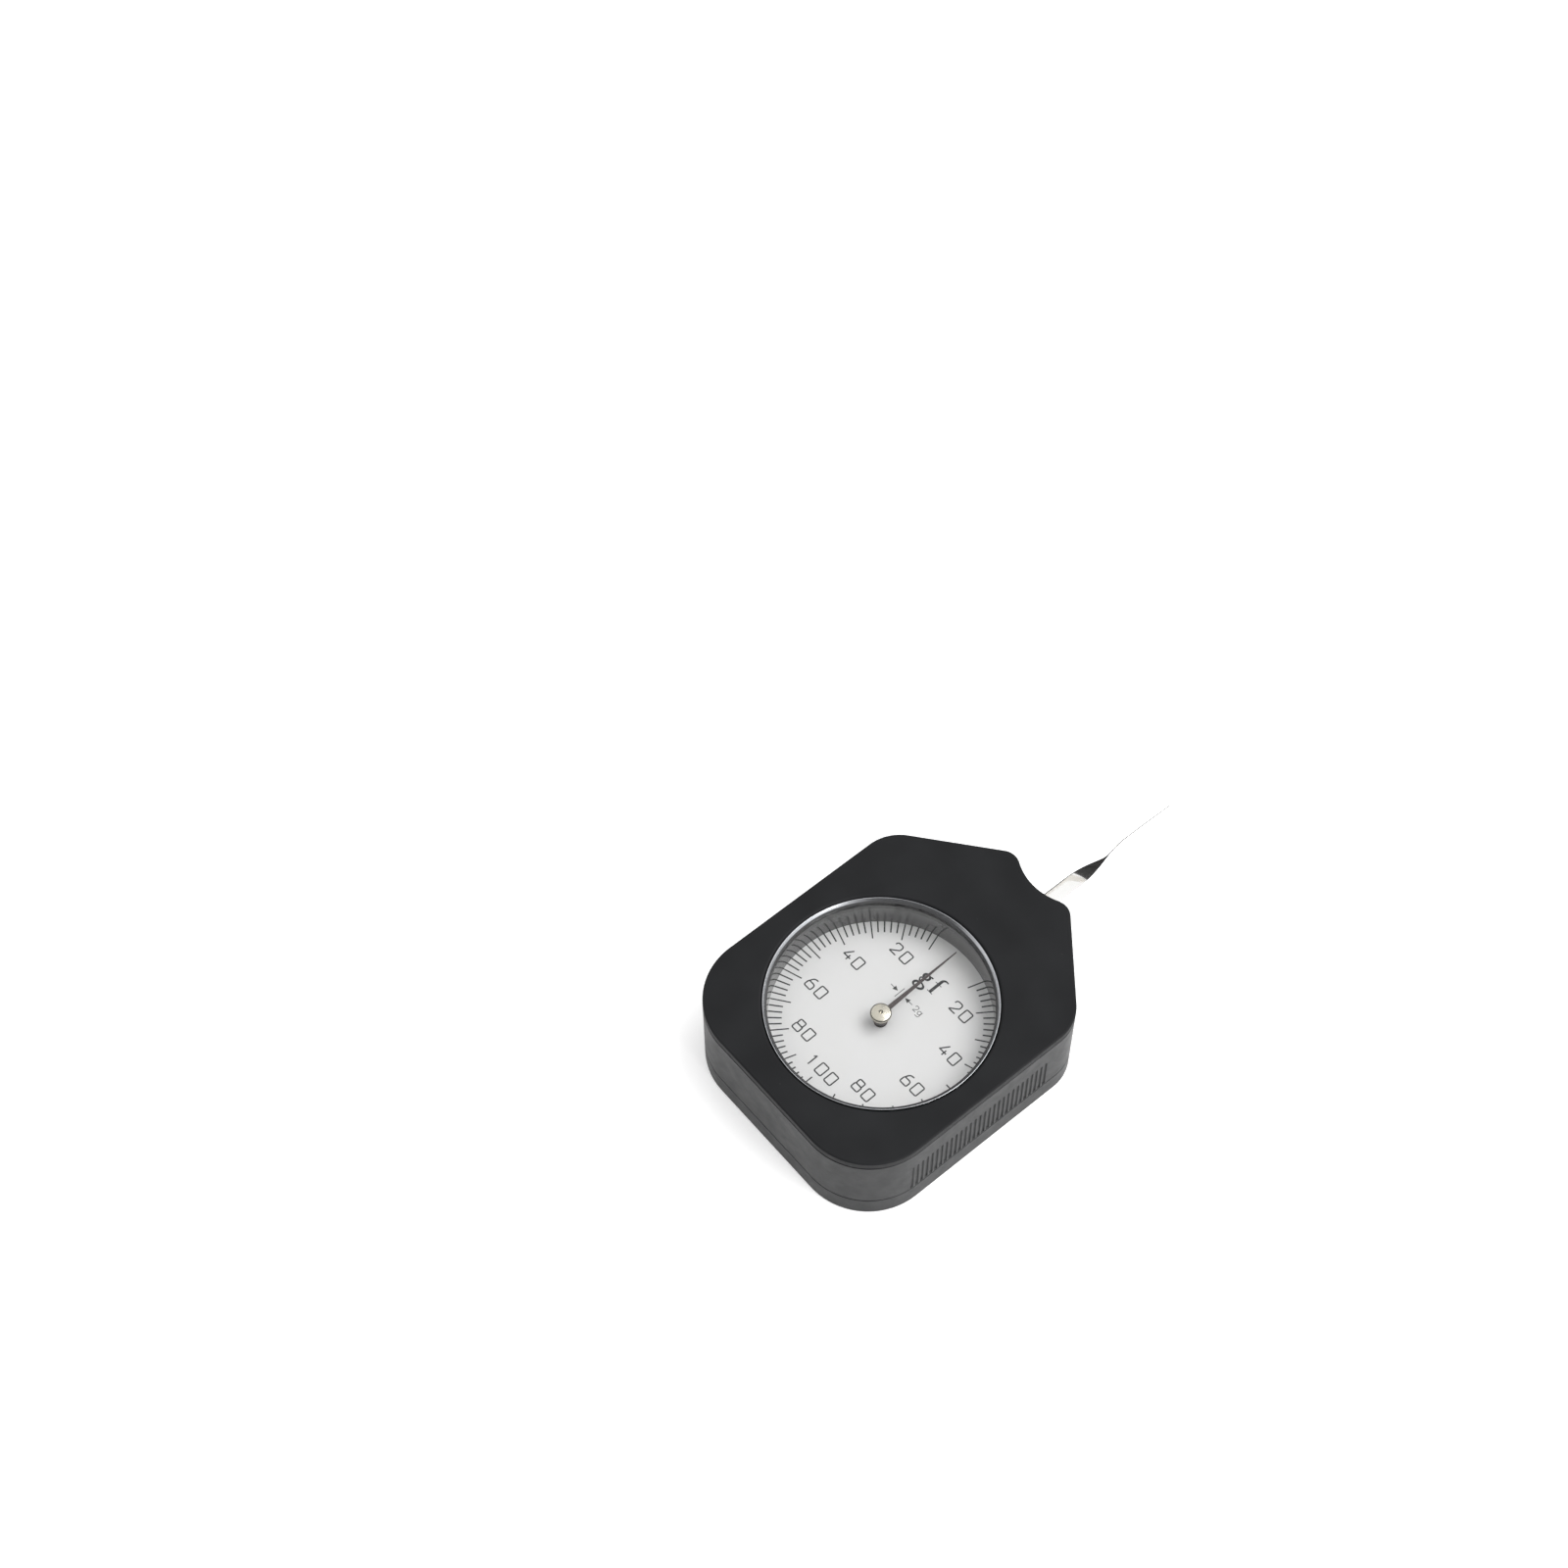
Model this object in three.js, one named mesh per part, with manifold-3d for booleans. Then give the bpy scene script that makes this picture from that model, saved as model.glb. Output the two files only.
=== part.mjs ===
// Dial tension gauge, built as an assembly of its separate pieces.
// Millimetres, +Z up. The gauge lies on its back. +Y points along the feeler and +X to the right as
// one reads the dial. The origin is where the pointer's axis meets the back face.
import * as THREE from 'three';
import { mergeVertices } from 'three/addons/utils/BufferGeometryUtils.js';
import Module from 'manifold-3d';

const wasm = await Module();
wasm.setup();

// Case outline, seen from the dial side, measured from the pointer's axis
const caseHalfWidth = 24.93;
const sideRimWidth = 4.33;
const bottomRimWidth = 5.45;
const shoulderHeight = 22.82;
const neckHalfWidth = 6.8;
const notchFloorHeight = 35.36;
const notchRadius = 11.09;
const pivotInset = 11.16;
const bottomCornerRadius = 12.83;
const shoulderRadius = 8.24;
const neckRadius = 3.15;

// Case depths, from the back face up
const caseThickness = 19.5;
const frontCoverDepth = 1.6;
const wallThickness = 2;
const rearFloorThickness = 2;
const coverStepDepth = 0.6;
const coverEdgeRadius = 0.3;
const rearEdgeRadius = 0.3;
const lipDepth = 2;
const lipThickness = 1;
const lipGap = 0.25;
const frontSeamHeight = 0.2;
const frontSeamDepth = 0.25;
const rearSeamHeight = 0.12;
const rearSeamDepth = 0.15;

// Grip panels on the long sides
const gripRibPitch = 1.084;
const gripGrooveWidth = 0.5;
const gripGrooveDepth = 0.25;
const gripLength = 31.4;
const gripMiddle = 0.8;
const gripHeight = 8.15;
const gripFoot = 0.15;

// Dial opening and what fills it
const openingEdgeRadius = 0.5;
const skirtThickness = 1.8;
const openingFit = 0.15;
const dialThickness = 0.5;
const dialHoleRadius = 1.2;
const wellRingThickness = 0.75;
const crystalThickness = 1;
const crystalLedge = 0.3;
const crystalGap = 0.05;
const gasketWidth = 0.75;
const gasketThickness = 0.25;
const bezelWidth = 0.45;
const bezelHeight = 0.35;
const bezelRound = 0.15;
const bezelSink = 0.1;

// Movement
const plateThickness = 1.2;
const plateGap = 0.8;
const screwHeadRoom = 0.6;
const gearRatio = 12;
const pinionTeeth = 10;
const sectorTeeth = 14;
const pinionHeight = 1.6;
const sectorThickness = 1;
const sectorLift = 0.5;
const sectorRimWidth = 2.2;
const sectorSpokeWidth = 2;
const sectorHubRadius = 3.2;
const feelerSwing = THREE.MathUtils.degToRad(15);
const pressureAngle = THREE.MathUtils.degToRad(20);
const addendumShare = 0.7;
const dedendumShare = 1.15;
const toothWidthShare = 0.44;

// Shafts and their bearings
const pointerArborRadius = 0.5;
const pointerPivotRadius = 0.4;
const feelerArborRadius = 0.8;
const feelerPivotRadius = 0.35;
const feelerCollarRadius = 1.4;
const bushRadius = 1.3;
const pivotGap = 0.05;
const boreGap = 0.1;
const endShake = 0.1;
const runningGap = 0.2;

// Feeler, a strip twisted a quarter turn past the notch
const feelerWidth = 3.4;
const feelerThickness = 0.6;
const feelerReach = 70;
const feelerTwistStart = 44.8;
const feelerTwistLength = 13.6;
const feelerTipWidth = 2.6;
const feelerTipTaper = 8;
const feelerEyeRadius = 3.4;
const feelerStemRadius = 1.5;
const feelerFlangeRadius = 2.6;
const feelerFlangeHeight = 1.5;
const feelerNutRadius = 2.7;
const feelerNutHeight = 0.8;
const feelerNutSides = 6;
const slotSideGap = 0.3;
const slotHeightGap = 0.6;

// Pointer and its hub
const pointerTipGap = 2.5;
const pointerRootWidth = 0.9;
const pointerTipWidth = 0.14;
const pointerThickness = 0.25;
const pointerLiftShare = 0.435;
const pointerEyeRadius = 1.4;
const pointerRestAngle = THREE.MathUtils.degToRad(2);
const hubCapRadius = 1.9;
const hubCapHeight = 0.75;
const hubCapRound = 0.25;
const hubStemRadius = 0.65;
const hubBossRadius = 1.4;
const hubBossGap = 0.82;
const hubDimpleRadius = 0.4;
const hubDimpleDepth = 0.3;
const arborTopGap = 0.2;

// Springs, flat ribbons wound into spirals
const measuringSpringTurns = 4;
const measuringSpringReach = 6.6;
const measuringSpringThickness = 0.25;
const measuringSpringHeight = 0.8;
const measuringSpringLift = 0.1;
const measuringColletThickness = 0.8;
const hairspringTurns = 5;
const hairspringReach = 4.6;
const hairspringThickness = 0.12;
const hairspringHeight = 0.5;
const hairspringColletThickness = 0.6;
const hairspringColletHeight = 1;
const hairspringLift = 0.4;
const springGap = 0.15;
const measuringStudRadius = 0.8;
const hairspringStudRadius = 0.5;

// Pillars, screws and stop pins
const pillarRadius = 1.6;
const pillarSpigotRadius = 0.8;
const pillarDrop = 4.5;
const plateScrewRadius = 0.6;
const plateScrewHeadRadius = 1.3;
const plateScrewHeadHeight = 0.6;
const plateScrewLength = 2.4;
const bossRadius = 2.8;
const bossBite = 0.5;
const bossGap = 0.6;
const caseScrewRadius = 1;
const caseScrewHeadRadius = 1.9;
const caseScrewHeadHeight = 1.2;
const caseScrewSink = 0.5;
const coverSkin = 1;
const screwGap = 0.25;
const screwTipGap = 0.3;
const recessWidth = 0.5;
const recessDepth = 0.6;
const recessReachShare = 0.62;
const lugRadius = 2.2;
const lugOffset = 3;
const lugHeight = 3.2;
const lugAlongShare = 0.4;
const movementScrewRadius = 0.8;
const movementScrewHeadRadius = 1.6;
const movementScrewHeadHeight = 1;
const movementScrewLength = 3.4;
const stopPinRadius = 0.6;
const stopPinHeight = 2.2;
const stopPinGap = 0.3;

// Fineness of round stretches, and the overrun of every cut
const arcStep = THREE.MathUtils.degToRad(11.25);
const largeRound = 56;
const hubRound = 20;
const smallRound = 12;
const edgeRound = 3;
const springStepsPerTurn = 12;
const twistSteps = 24;
const tipSteps = 3;
const cutOverrun = 1;
const weldTolerance = 1e-4;

// Reaches that follow from the case's width and the notch
const openingRadius = caseHalfWidth - sideRimWidth;
const caseBottomReach = openingRadius + bottomRimWidth;
const feelerPivotHeight = notchFloorHeight - pivotInset;
const fittedRadius = openingRadius - openingFit;
const wellRadius = fittedRadius - wellRingThickness;
const crystalRadius = wellRadius + crystalLedge;
const skirtRadius = openingRadius + skirtThickness;
const pointerLength = openingRadius - pointerTipGap;
const plateInset = wallThickness + plateGap;

// Heights of the movement, stacked from the floor of the rear cover to the dial
const lowerPlateBottom = rearFloorThickness + screwHeadRoom + movementScrewHeadHeight;
const lowerPlateTop = lowerPlateBottom + plateThickness;
const rearCoverDepth = lowerPlateTop;
const sectorBottom = lowerPlateTop + sectorLift;
const sectorTop = sectorBottom + sectorThickness;
const feelerBottom = sectorTop + feelerFlangeHeight;
const feelerTop = feelerBottom + feelerThickness;
const feelerNutTop = feelerTop + feelerNutHeight;
const measuringSpringBottom = feelerNutTop + measuringSpringLift;
const pinionBottom = sectorBottom - (pinionHeight - sectorThickness) / 2;
const pinionTop = pinionBottom + pinionHeight;
const hairspringBottom = pinionTop + hairspringLift;
const upperPlateBottom = measuringSpringBottom + measuringSpringHeight + runningGap;
const upperPlateTop = upperPlateBottom + plateThickness;
const dialTop = upperPlateTop + dialThickness;

// Heights below the front face, and the pointer in the room between the dial and the crystal
const frontSeam = caseThickness - frontCoverDepth;
const columnTop = frontSeam - lipDepth;
const bezelTop = caseThickness - bezelSink;
const gasketTop = bezelTop - bezelHeight;
const crystalTop = gasketTop - gasketThickness;
const crystalBottom = crystalTop - crystalThickness;
const pointerBottom = dialTop + (crystalBottom - dialTop) * pointerLiftShare;
const pointerTop = pointerBottom + pointerThickness;
const hubTop = pointerTop + hubCapHeight;
const hubBossBottom = dialTop + hubBossGap;

// Materials
const paint = (color, roughness, metalness) => new THREE.MeshStandardMaterial(
  { color, roughness, metalness },
);
const blackPlastic = () => paint(0x2b2d30, 0.55, 0);
const brass = () => paint(0xb08d4a, 0.35, 0.9);
const nickel = () => paint(0xcfc8b4, 0.18, 1);
const steel = () => paint(0xb9bcc0, 0.25, 1);
const springSteel = () => paint(0x5a6478, 0.3, 1);

// Solids and their joins
const weld = geometry => {
  const bare = geometry.clone();
  bare.deleteAttribute('normal');
  bare.deleteAttribute('uv');
  const welded = mergeVertices(bare, weldTolerance);
  const kept = [];
  const index = welded.index.array;
  for (let i = 0; i < index.length; i += 3) {
    const [a, b, c] = [index[i], index[i + 1], index[i + 2]];
    if (a !== b && b !== c && c !== a) kept.push(a, b, c);
  }
  welded.setIndex(kept);
  return welded;
};

const signedVolume = geometry => {
  const index = geometry.index.array;
  const position = geometry.attributes.position;
  const corner = n => new THREE.Vector3().fromBufferAttribute(position, index[n]);
  let total = 0;
  for (let i = 0; i < index.length; i += 3) {
    total += corner(i).dot(corner(i + 1).cross(corner(i + 2)));
  }
  return total / 6;
};

const facingOut = geometry => {
  const welded = weld(geometry);
  if (signedVolume(welded) < 0) welded.setIndex(Array.from(welded.index.array).reverse());
  return welded;
};

const solid = geometry => {
  const closed = facingOut(geometry);
  return new wasm.Manifold(new wasm.Mesh({
    numProp: 3,
    vertProperties: new Float32Array(closed.attributes.position.array),
    triVerts: new Uint32Array(closed.index.array),
  }));
};

const geometryOf = body => {
  const mesh = body.getMesh();
  const geometry = new THREE.BufferGeometry();
  geometry.setAttribute('position', new THREE.BufferAttribute(mesh.vertProperties, 3));
  geometry.setIndex(new THREE.BufferAttribute(mesh.triVerts, 1));
  return geometry;
};

const joined = geometries => geometryOf(geometries.map(solid).reduce((sum, next) => sum.add(next)));
const cut = (geometry, cutters) => geometryOf(
  cutters.map(solid).reduce((left, cutter) => left.subtract(cutter), solid(geometry)),
);

// Basic forms
const arc = (x, y, radius, from, to, step = arcStep) => {
  const count = Math.max(2, Math.ceil(Math.abs(to - from) / step));
  return Array.from({ length: count + 1 }, (_, i) => {
    const angle = from + (to - from) * i / count;
    return new THREE.Vector2(x + radius * Math.cos(angle), y + radius * Math.sin(angle));
  });
};

const circle = (x, y, radius, sides) => arc(x, y, radius, 0, 2 * Math.PI, 2 * Math.PI / sides).slice(0, -1);

const slab = (outline, bottom, top, holes = []) => {
  const shape = new THREE.Shape(outline);
  shape.holes = holes.map(hole => new THREE.Path(hole));
  const geometry = new THREE.ExtrudeGeometry(shape, { depth: top - bottom, bevelEnabled: false });
  return geometry.translate(0, 0, bottom);
};

const cylinder = (x, y, radius, bottom, top, sides = smallRound) => slab(
  circle(x, y, radius, sides), bottom, top,
);

const box = (left, right, front, back, bottom, top) => {
  const geometry = new THREE.BoxGeometry(right - left, back - front, top - bottom);
  return geometry.translate((left + right) / 2, (front + back) / 2, (bottom + top) / 2);
};

// A profile of [radius, height] pairs turned about a vertical axis
const turned = (profile, x = 0, y = 0, sides = smallRound) => {
  const points = profile.map(([radius, height]) => new THREE.Vector2(radius, height));
  const geometry = new THREE.LatheGeometry(points, sides);
  geometry.rotateX(Math.PI / 2).translate(x, y, 0);
  return facingOut(geometry);
};

const turnedRing = (inner, outer, bottom, top, x = 0, y = 0, sides = smallRound) => turned(
  [[inner, bottom], [outer, bottom], [outer, top], [inner, top], [inner, bottom]], x, y, sides,
);

// Case outline: corner, shoulder, neck and notch are arcs that run into each other and into the
// straight sides. An inset moves the whole outline inwards.
const notchCentreHeight = notchFloorHeight + notchRadius;
const slopeEnd = new THREE.Vector2(
  neckHalfWidth, notchCentreHeight - Math.sqrt(notchRadius ** 2 - neckHalfWidth ** 2),
);
const shoulderPoint = new THREE.Vector2(caseHalfWidth, shoulderHeight);
const slopeDirection = slopeEnd.clone().sub(shoulderPoint).normalize();
const slopeTurn = Math.acos(slopeDirection.y);
const slopeOutward = new THREE.Vector2(Math.cos(slopeTurn), Math.sin(slopeTurn));
const bottomCorner = new THREE.Vector2(
  caseHalfWidth - bottomCornerRadius, bottomCornerRadius - caseBottomReach,
);
const shoulderCentre = new THREE.Vector2(
  caseHalfWidth - shoulderRadius, shoulderHeight - shoulderRadius * Math.tan(slopeTurn / 2),
);
const neckCentre = (() => {
  const start = shoulderPoint.clone().addScaledVector(slopeOutward, -neckRadius);
  const fromNotch = start.clone().sub(new THREE.Vector2(0, notchCentreHeight));
  const along = fromNotch.dot(slopeDirection);
  const beyond = fromNotch.lengthSq() - (notchRadius + neckRadius) ** 2;
  return start.addScaledVector(slopeDirection, -along - Math.sqrt(along ** 2 - beyond));
})();
const neckToNotch = Math.atan2(notchCentreHeight - neckCentre.y, -neckCentre.x);

const caseOutline = inset => {
  const right = [
    ...arc(bottomCorner.x, bottomCorner.y, bottomCornerRadius - inset, -Math.PI / 2, 0),
    ...arc(shoulderCentre.x, shoulderCentre.y, shoulderRadius - inset, 0, slopeTurn),
    ...arc(neckCentre.x, neckCentre.y, Math.max(neckRadius - inset, 0), slopeTurn, neckToNotch),
    ...arc(0, notchCentreHeight, notchRadius + inset, neckToNotch - Math.PI, -Math.PI / 2),
  ];
  const left = right.slice(0, -1).reverse().map(point => new THREE.Vector2(-point.x, point.y));
  const isNew = (point, i, all) => i === 0 || point.distanceTo(all[i - 1]) > weldTolerance;
  return [...right, ...left].filter(isNew);
};

// The case outline as a slab whose upper rim is rounded
const roundedSlab = (height, radius) => {
  const shape = new THREE.Shape(caseOutline(0));
  const geometry = new THREE.ExtrudeGeometry(shape, {
    depth: height, bevelThickness: radius, bevelSize: radius, bevelOffset: -radius, bevelSegments: edgeRound,
  });
  geometry.translate(0, 0, -radius);
  return cut(geometry, [box(
    -2 * caseHalfWidth, 2 * caseHalfWidth, -2 * caseBottomReach, 2 * notchFloorHeight,
    -height - radius, 0,
  )]);
};

// Places shared by several pieces
const mirroredPair = (x, y) => [new THREE.Vector2(x, y), new THREE.Vector2(-x, y)];
const bossFromArc = (centre, radius, angle) => {
  const reach = radius - wallThickness - bossRadius + bossBite;
  return mirroredPair(centre.x + reach * Math.cos(angle), centre.y + reach * Math.sin(angle));
};
const bossPlaces = [
  ...bossFromArc(bottomCorner, bottomCornerRadius, -Math.PI / 4),
  ...bossFromArc(shoulderCentre, shoulderRadius, slopeTurn / 2),
];
const pillarPlaces = [
  ...mirroredPair(bottomCorner.x, bottomCorner.y),
  ...mirroredPair(shoulderCentre.x, shoulderCentre.y - pillarDrop),
];
const slopeStart = shoulderCentre.clone().addScaledVector(slopeOutward, shoulderRadius);
const slopeFinish = neckCentre.clone().addScaledVector(slopeOutward, neckRadius);
const lugOnSlope = slopeStart.clone().lerp(slopeFinish, lugAlongShare)
  .addScaledVector(slopeOutward, -wallThickness - lugOffset);
const lugPlaces = [
  { x: lugOnSlope.x, y: lugOnSlope.y, facing: slopeTurn },
  { x: -lugOnSlope.x, y: lugOnSlope.y, facing: Math.PI - slopeTurn },
  { x: 0, y: wallThickness + lugOffset - caseBottomReach, facing: -Math.PI / 2 },
];

// Gears
const sectorFullTeeth = pinionTeeth * gearRatio;
const gearModule = 2 * feelerPivotHeight / (sectorFullTeeth + pinionTeeth);
const gear = teeth => ({
  teeth,
  pitchRadius: gearModule * teeth / 2,
  tipRadius: gearModule * (teeth / 2 + addendumShare),
  rootRadius: gearModule * (teeth / 2 - dedendumShare),
});
const pinionGear = gear(pinionTeeth);
const sectorWheel = gear(sectorFullTeeth);
const involute = angle => Math.tan(angle) - angle;
const toothHalfAngle = (wheel, radius) => {
  const baseRadius = wheel.pitchRadius * Math.cos(pressureAngle);
  const flank = Math.acos(baseRadius / Math.max(radius, baseRadius));
  return Math.PI * toothWidthShare / wheel.teeth + involute(pressureAngle) - involute(flank);
};

// One tooth of a wheel about (x, y), from its clockwise root to the other
const tooth = (wheel, x, y, middle) => {
  const radii = [wheel.rootRadius, wheel.pitchRadius, wheel.tipRadius];
  const flank = radii.map(radius => ({ radius, half: toothHalfAngle(wheel, radius) }));
  const point = (radius, angle) => new THREE.Vector2(
    x + radius * Math.cos(angle), y + radius * Math.sin(angle),
  );
  return [
    ...flank.map(({ radius, half }) => point(radius, middle - half)),
    ...flank.reverse().map(({ radius, half }) => point(radius, middle + half)),
  ];
};

// Shells of the case
const makeFrontCover = () => {
  const plate = roundedSlab(frontCoverDepth, coverEdgeRadius);
  plate.translate(0, 0, frontSeam);
  const lipOuter = wallThickness + lipGap;
  const step = slab(caseOutline(lipOuter), frontSeam - coverStepDepth, frontSeam + coverEdgeRadius);
  const lip = slab(
    caseOutline(lipOuter), columnTop, frontSeam + coverEdgeRadius, [caseOutline(lipOuter + lipThickness)],
  );
  const skirt = cylinder(0, 0, skirtRadius, upperPlateTop, frontSeam + coverEdgeRadius, largeRound);
  const bosses = bossPlaces.map(({ x, y }) => cylinder(
    x, y, bossRadius - bossBite - lipGap, columnTop, frontSeam + coverEdgeRadius,
  ));
  const edge = arc(0, 0, openingEdgeRadius, Math.PI, Math.PI / 2, Math.PI / 2 / edgeRound);
  const opening = turned([
    [0, upperPlateTop - cutOverrun],
    [openingRadius, upperPlateTop - cutOverrun],
    ...edge.map(({ x, y }) => [openingRadius + openingEdgeRadius + x, caseThickness - openingEdgeRadius + y]),
    [openingRadius + openingEdgeRadius, caseThickness + cutOverrun],
    [0, caseThickness + cutOverrun],
  ], 0, 0, largeRound);
  const bores = bossPlaces.map(({ x, y }) => cylinder(
    x, y, caseScrewRadius + screwGap, columnTop - cutOverrun, caseThickness - coverSkin,
  ));
  return cut(joined([plate, step, lip, skirt, ...bosses]), [opening, ...bores]);
};

const gripGrooves = side => {
  const count = Math.round(gripLength / gripRibPitch);
  const outer = side * (caseHalfWidth + cutOverrun);
  const inner = side * (caseHalfWidth - gripGrooveDepth);
  return Array.from({ length: count }, (_, i) => {
    const middle = gripMiddle + (i - (count - 1) / 2) * gripRibPitch;
    return box(
      Math.min(outer, inner), Math.max(outer, inner),
      middle - gripGrooveWidth / 2, middle + gripGrooveWidth / 2,
      rearCoverDepth + gripFoot, rearCoverDepth + gripFoot + gripHeight,
    );
  });
};

const lugShape = ({ x, y, facing }) => {
  const round = arc(0, 0, lugRadius, Math.PI / 2, 3 * Math.PI / 2);
  const root = lugOffset + wallThickness / 2;
  const outline = [...round, new THREE.Vector2(root, -lugRadius), new THREE.Vector2(root, lugRadius)];
  const centre = new THREE.Vector2();
  return outline.map(point => point.rotateAround(centre, facing).add(new THREE.Vector2(x, y)));
};

const feelerSlot = () => {
  const swingReach = (notchFloorHeight + wallThickness - feelerPivotHeight) * Math.tan(feelerSwing);
  const halfWidth = swingReach + feelerWidth / 2 / Math.cos(feelerSwing) + slotSideGap;
  const middle = (feelerBottom + feelerTop) / 2;
  const halfHeight = (feelerWidth + slotHeightGap) / 2;
  return box(
    -halfWidth, halfWidth, notchFloorHeight - wallThickness - cutOverrun, notchCentreHeight,
    middle - halfHeight, middle + halfHeight,
  );
};

const makeMidCase = () => {
  const wall = slab(caseOutline(0), rearCoverDepth, frontSeam - frontSeamHeight);
  const rim = slab(caseOutline(frontSeamDepth), rearCoverDepth + rearSeamHeight, frontSeam);
  const inside = slab(caseOutline(wallThickness), rearCoverDepth - cutOverrun, frontSeam + cutOverrun);
  const columns = bossPlaces.map(({ x, y }) => cylinder(x, y, bossRadius, rearCoverDepth, columnTop));
  const lugs = lugPlaces.map(place => slab(lugShape(place), lowerPlateTop, lowerPlateTop + lugHeight));
  const bores = bossPlaces.map(({ x, y }) => cylinder(
    x, y, caseScrewRadius + screwGap, rearCoverDepth - cutOverrun, columnTop + cutOverrun,
  ));
  const threads = lugPlaces.map(({ x, y }) => cylinder(
    x, y, movementScrewRadius + boreGap, lowerPlateTop - cutOverrun,
    lowerPlateTop + movementScrewLength - plateThickness + screwTipGap,
  ));
  const shell = cut(joined([wall, rim]), [inside]);
  const grooves = [...gripGrooves(1), ...gripGrooves(-1)];
  const skirtRoom = cylinder(
    0, 0, skirtRadius + lipGap, upperPlateBottom, frontSeam + cutOverrun, largeRound,
  );
  return cut(
    joined([shell, ...columns, ...lugs]), [feelerSlot(), skirtRoom, ...bores, ...threads, ...grooves],
  );
};

const makeRearCover = () => {
  const upright = roundedSlab(rearCoverDepth - rearSeamHeight, rearEdgeRadius);
  const tray = upright.rotateY(Math.PI).translate(0, 0, rearCoverDepth - rearSeamHeight);
  const rim = slab(caseOutline(rearSeamDepth), rearFloorThickness, rearCoverDepth);
  const inside = slab(caseOutline(wallThickness), rearFloorThickness, rearCoverDepth + cutOverrun);
  const bosses = bossPlaces.map(({ x, y }) => cylinder(
    x, y, bossRadius, rearFloorThickness - rearEdgeRadius, rearCoverDepth,
  ));
  const bores = bossPlaces.map(({ x, y }) => cylinder(
    x, y, caseScrewRadius + screwGap, -cutOverrun, rearCoverDepth + cutOverrun,
  ));
  const counterbores = bossPlaces.map(({ x, y }) => cylinder(
    x, y, caseScrewHeadRadius + screwGap, -cutOverrun, caseScrewSink + caseScrewHeadHeight,
  ));
  const shell = cut(joined([tray, rim]), [inside]);
  return cut(joined([shell, ...bosses]), [...bores, ...counterbores]);
};

// What fills the dial opening. The crystal sits in a step of the ring round the well, the gasket
// lies over both, and the bezel ring clamps it with its rounded crown up.
const makeBezelRing = () => {
  const inner = fittedRadius - bezelWidth;
  const crown = bezelTop - bezelRound;
  const step = Math.PI / 2 / edgeRound;
  const rounds = [
    ...arc(fittedRadius - bezelRound, crown, bezelRound, 0, Math.PI / 2, step),
    ...arc(inner + bezelRound, crown, bezelRound, Math.PI / 2, Math.PI, step),
  ];
  return turned([
    [inner, gasketTop], [fittedRadius, gasketTop], ...rounds.map(({ x, y }) => [x, y]),
    [inner, gasketTop],
  ], 0, 0, largeRound);
};

const makeCrystal = () => cylinder(0, 0, crystalRadius, crystalBottom, crystalTop, largeRound);
const makeGasket = () => turnedRing(
  fittedRadius - gasketWidth, fittedRadius, crystalTop, gasketTop, 0, 0, largeRound,
);
const makeWellRing = () => {
  const rebate = crystalRadius + crystalGap;
  return turned([
    [wellRadius, dialTop], [fittedRadius, dialTop], [fittedRadius, crystalTop], [rebate, crystalTop],
    [rebate, crystalBottom], [wellRadius, crystalBottom], [wellRadius, dialTop],
  ], 0, 0, largeRound);
};
const makeDialPlate = () => slab(
  circle(0, 0, fittedRadius, largeRound), upperPlateTop, dialTop, [circle(0, 0, dialHoleRadius, smallRound)],
);

// Movement plates follow the inside of the case and clear its screw columns
const plateHoles = (bottom, top, round) => round.map(([x, y, radius]) => cylinder(
  x, y, radius, bottom - cutOverrun, top + cutOverrun,
));
const bossClearances = bossPlaces.map(({ x, y }) => [x, y, bossRadius + bossGap]);
const bushHoles = [[0, 0, bushRadius + boreGap], [0, feelerPivotHeight, bushRadius + boreGap]];

const stopPinPlaces = (() => {
  const rimMiddle = sectorWheel.rootRadius - sectorRimWidth / 2;
  const rimHalfSpan = Math.PI * sectorTeeth / sectorFullTeeth;
  const angle = rimHalfSpan + feelerSwing + Math.asin((stopPinRadius + stopPinGap) / rimMiddle);
  return mirroredPair(rimMiddle * Math.sin(angle), feelerPivotHeight - rimMiddle * Math.cos(angle));
})();

const makeLowerPlate = () => cut(slab(caseOutline(plateInset), lowerPlateBottom, lowerPlateTop), plateHoles(
  lowerPlateBottom, lowerPlateTop, [
    ...bossClearances,
    ...bushHoles,
    ...pillarPlaces.map(({ x, y }) => [x, y, pillarSpigotRadius + boreGap]),
    ...stopPinPlaces.map(({ x, y }) => [x, y, stopPinRadius + boreGap]),
    ...lugPlaces.map(({ x, y }) => [x, y, movementScrewRadius + boreGap]),
  ],
));

const makeUpperPlate = () => {
  const heads = pillarPlaces.map(({ x, y }) => cylinder(
    x, y, plateScrewHeadRadius + boreGap, upperPlateTop - plateScrewHeadHeight, upperPlateTop + cutOverrun,
  ));
  const holes = plateHoles(upperPlateBottom, upperPlateTop, [
    ...bossClearances,
    ...bushHoles,
    ...pillarPlaces.map(({ x, y }) => [x, y, plateScrewRadius + boreGap]),
  ]);
  return cut(slab(caseOutline(plateInset), upperPlateBottom, upperPlateTop), [...holes, ...heads]);
};

const makePillar = ({ x, y }) => {
  const threadBottom = upperPlateTop - plateScrewHeadHeight - plateScrewLength - screwTipGap;
  return turned([
    [0, lowerPlateBottom], [pillarSpigotRadius, lowerPlateBottom], [pillarSpigotRadius, lowerPlateTop],
    [pillarRadius, lowerPlateTop], [pillarRadius, upperPlateBottom],
    [plateScrewRadius + boreGap, upperPlateBottom], [plateScrewRadius + boreGap, threadBottom],
    [0, threadBottom],
  ], x, y);
};

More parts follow.
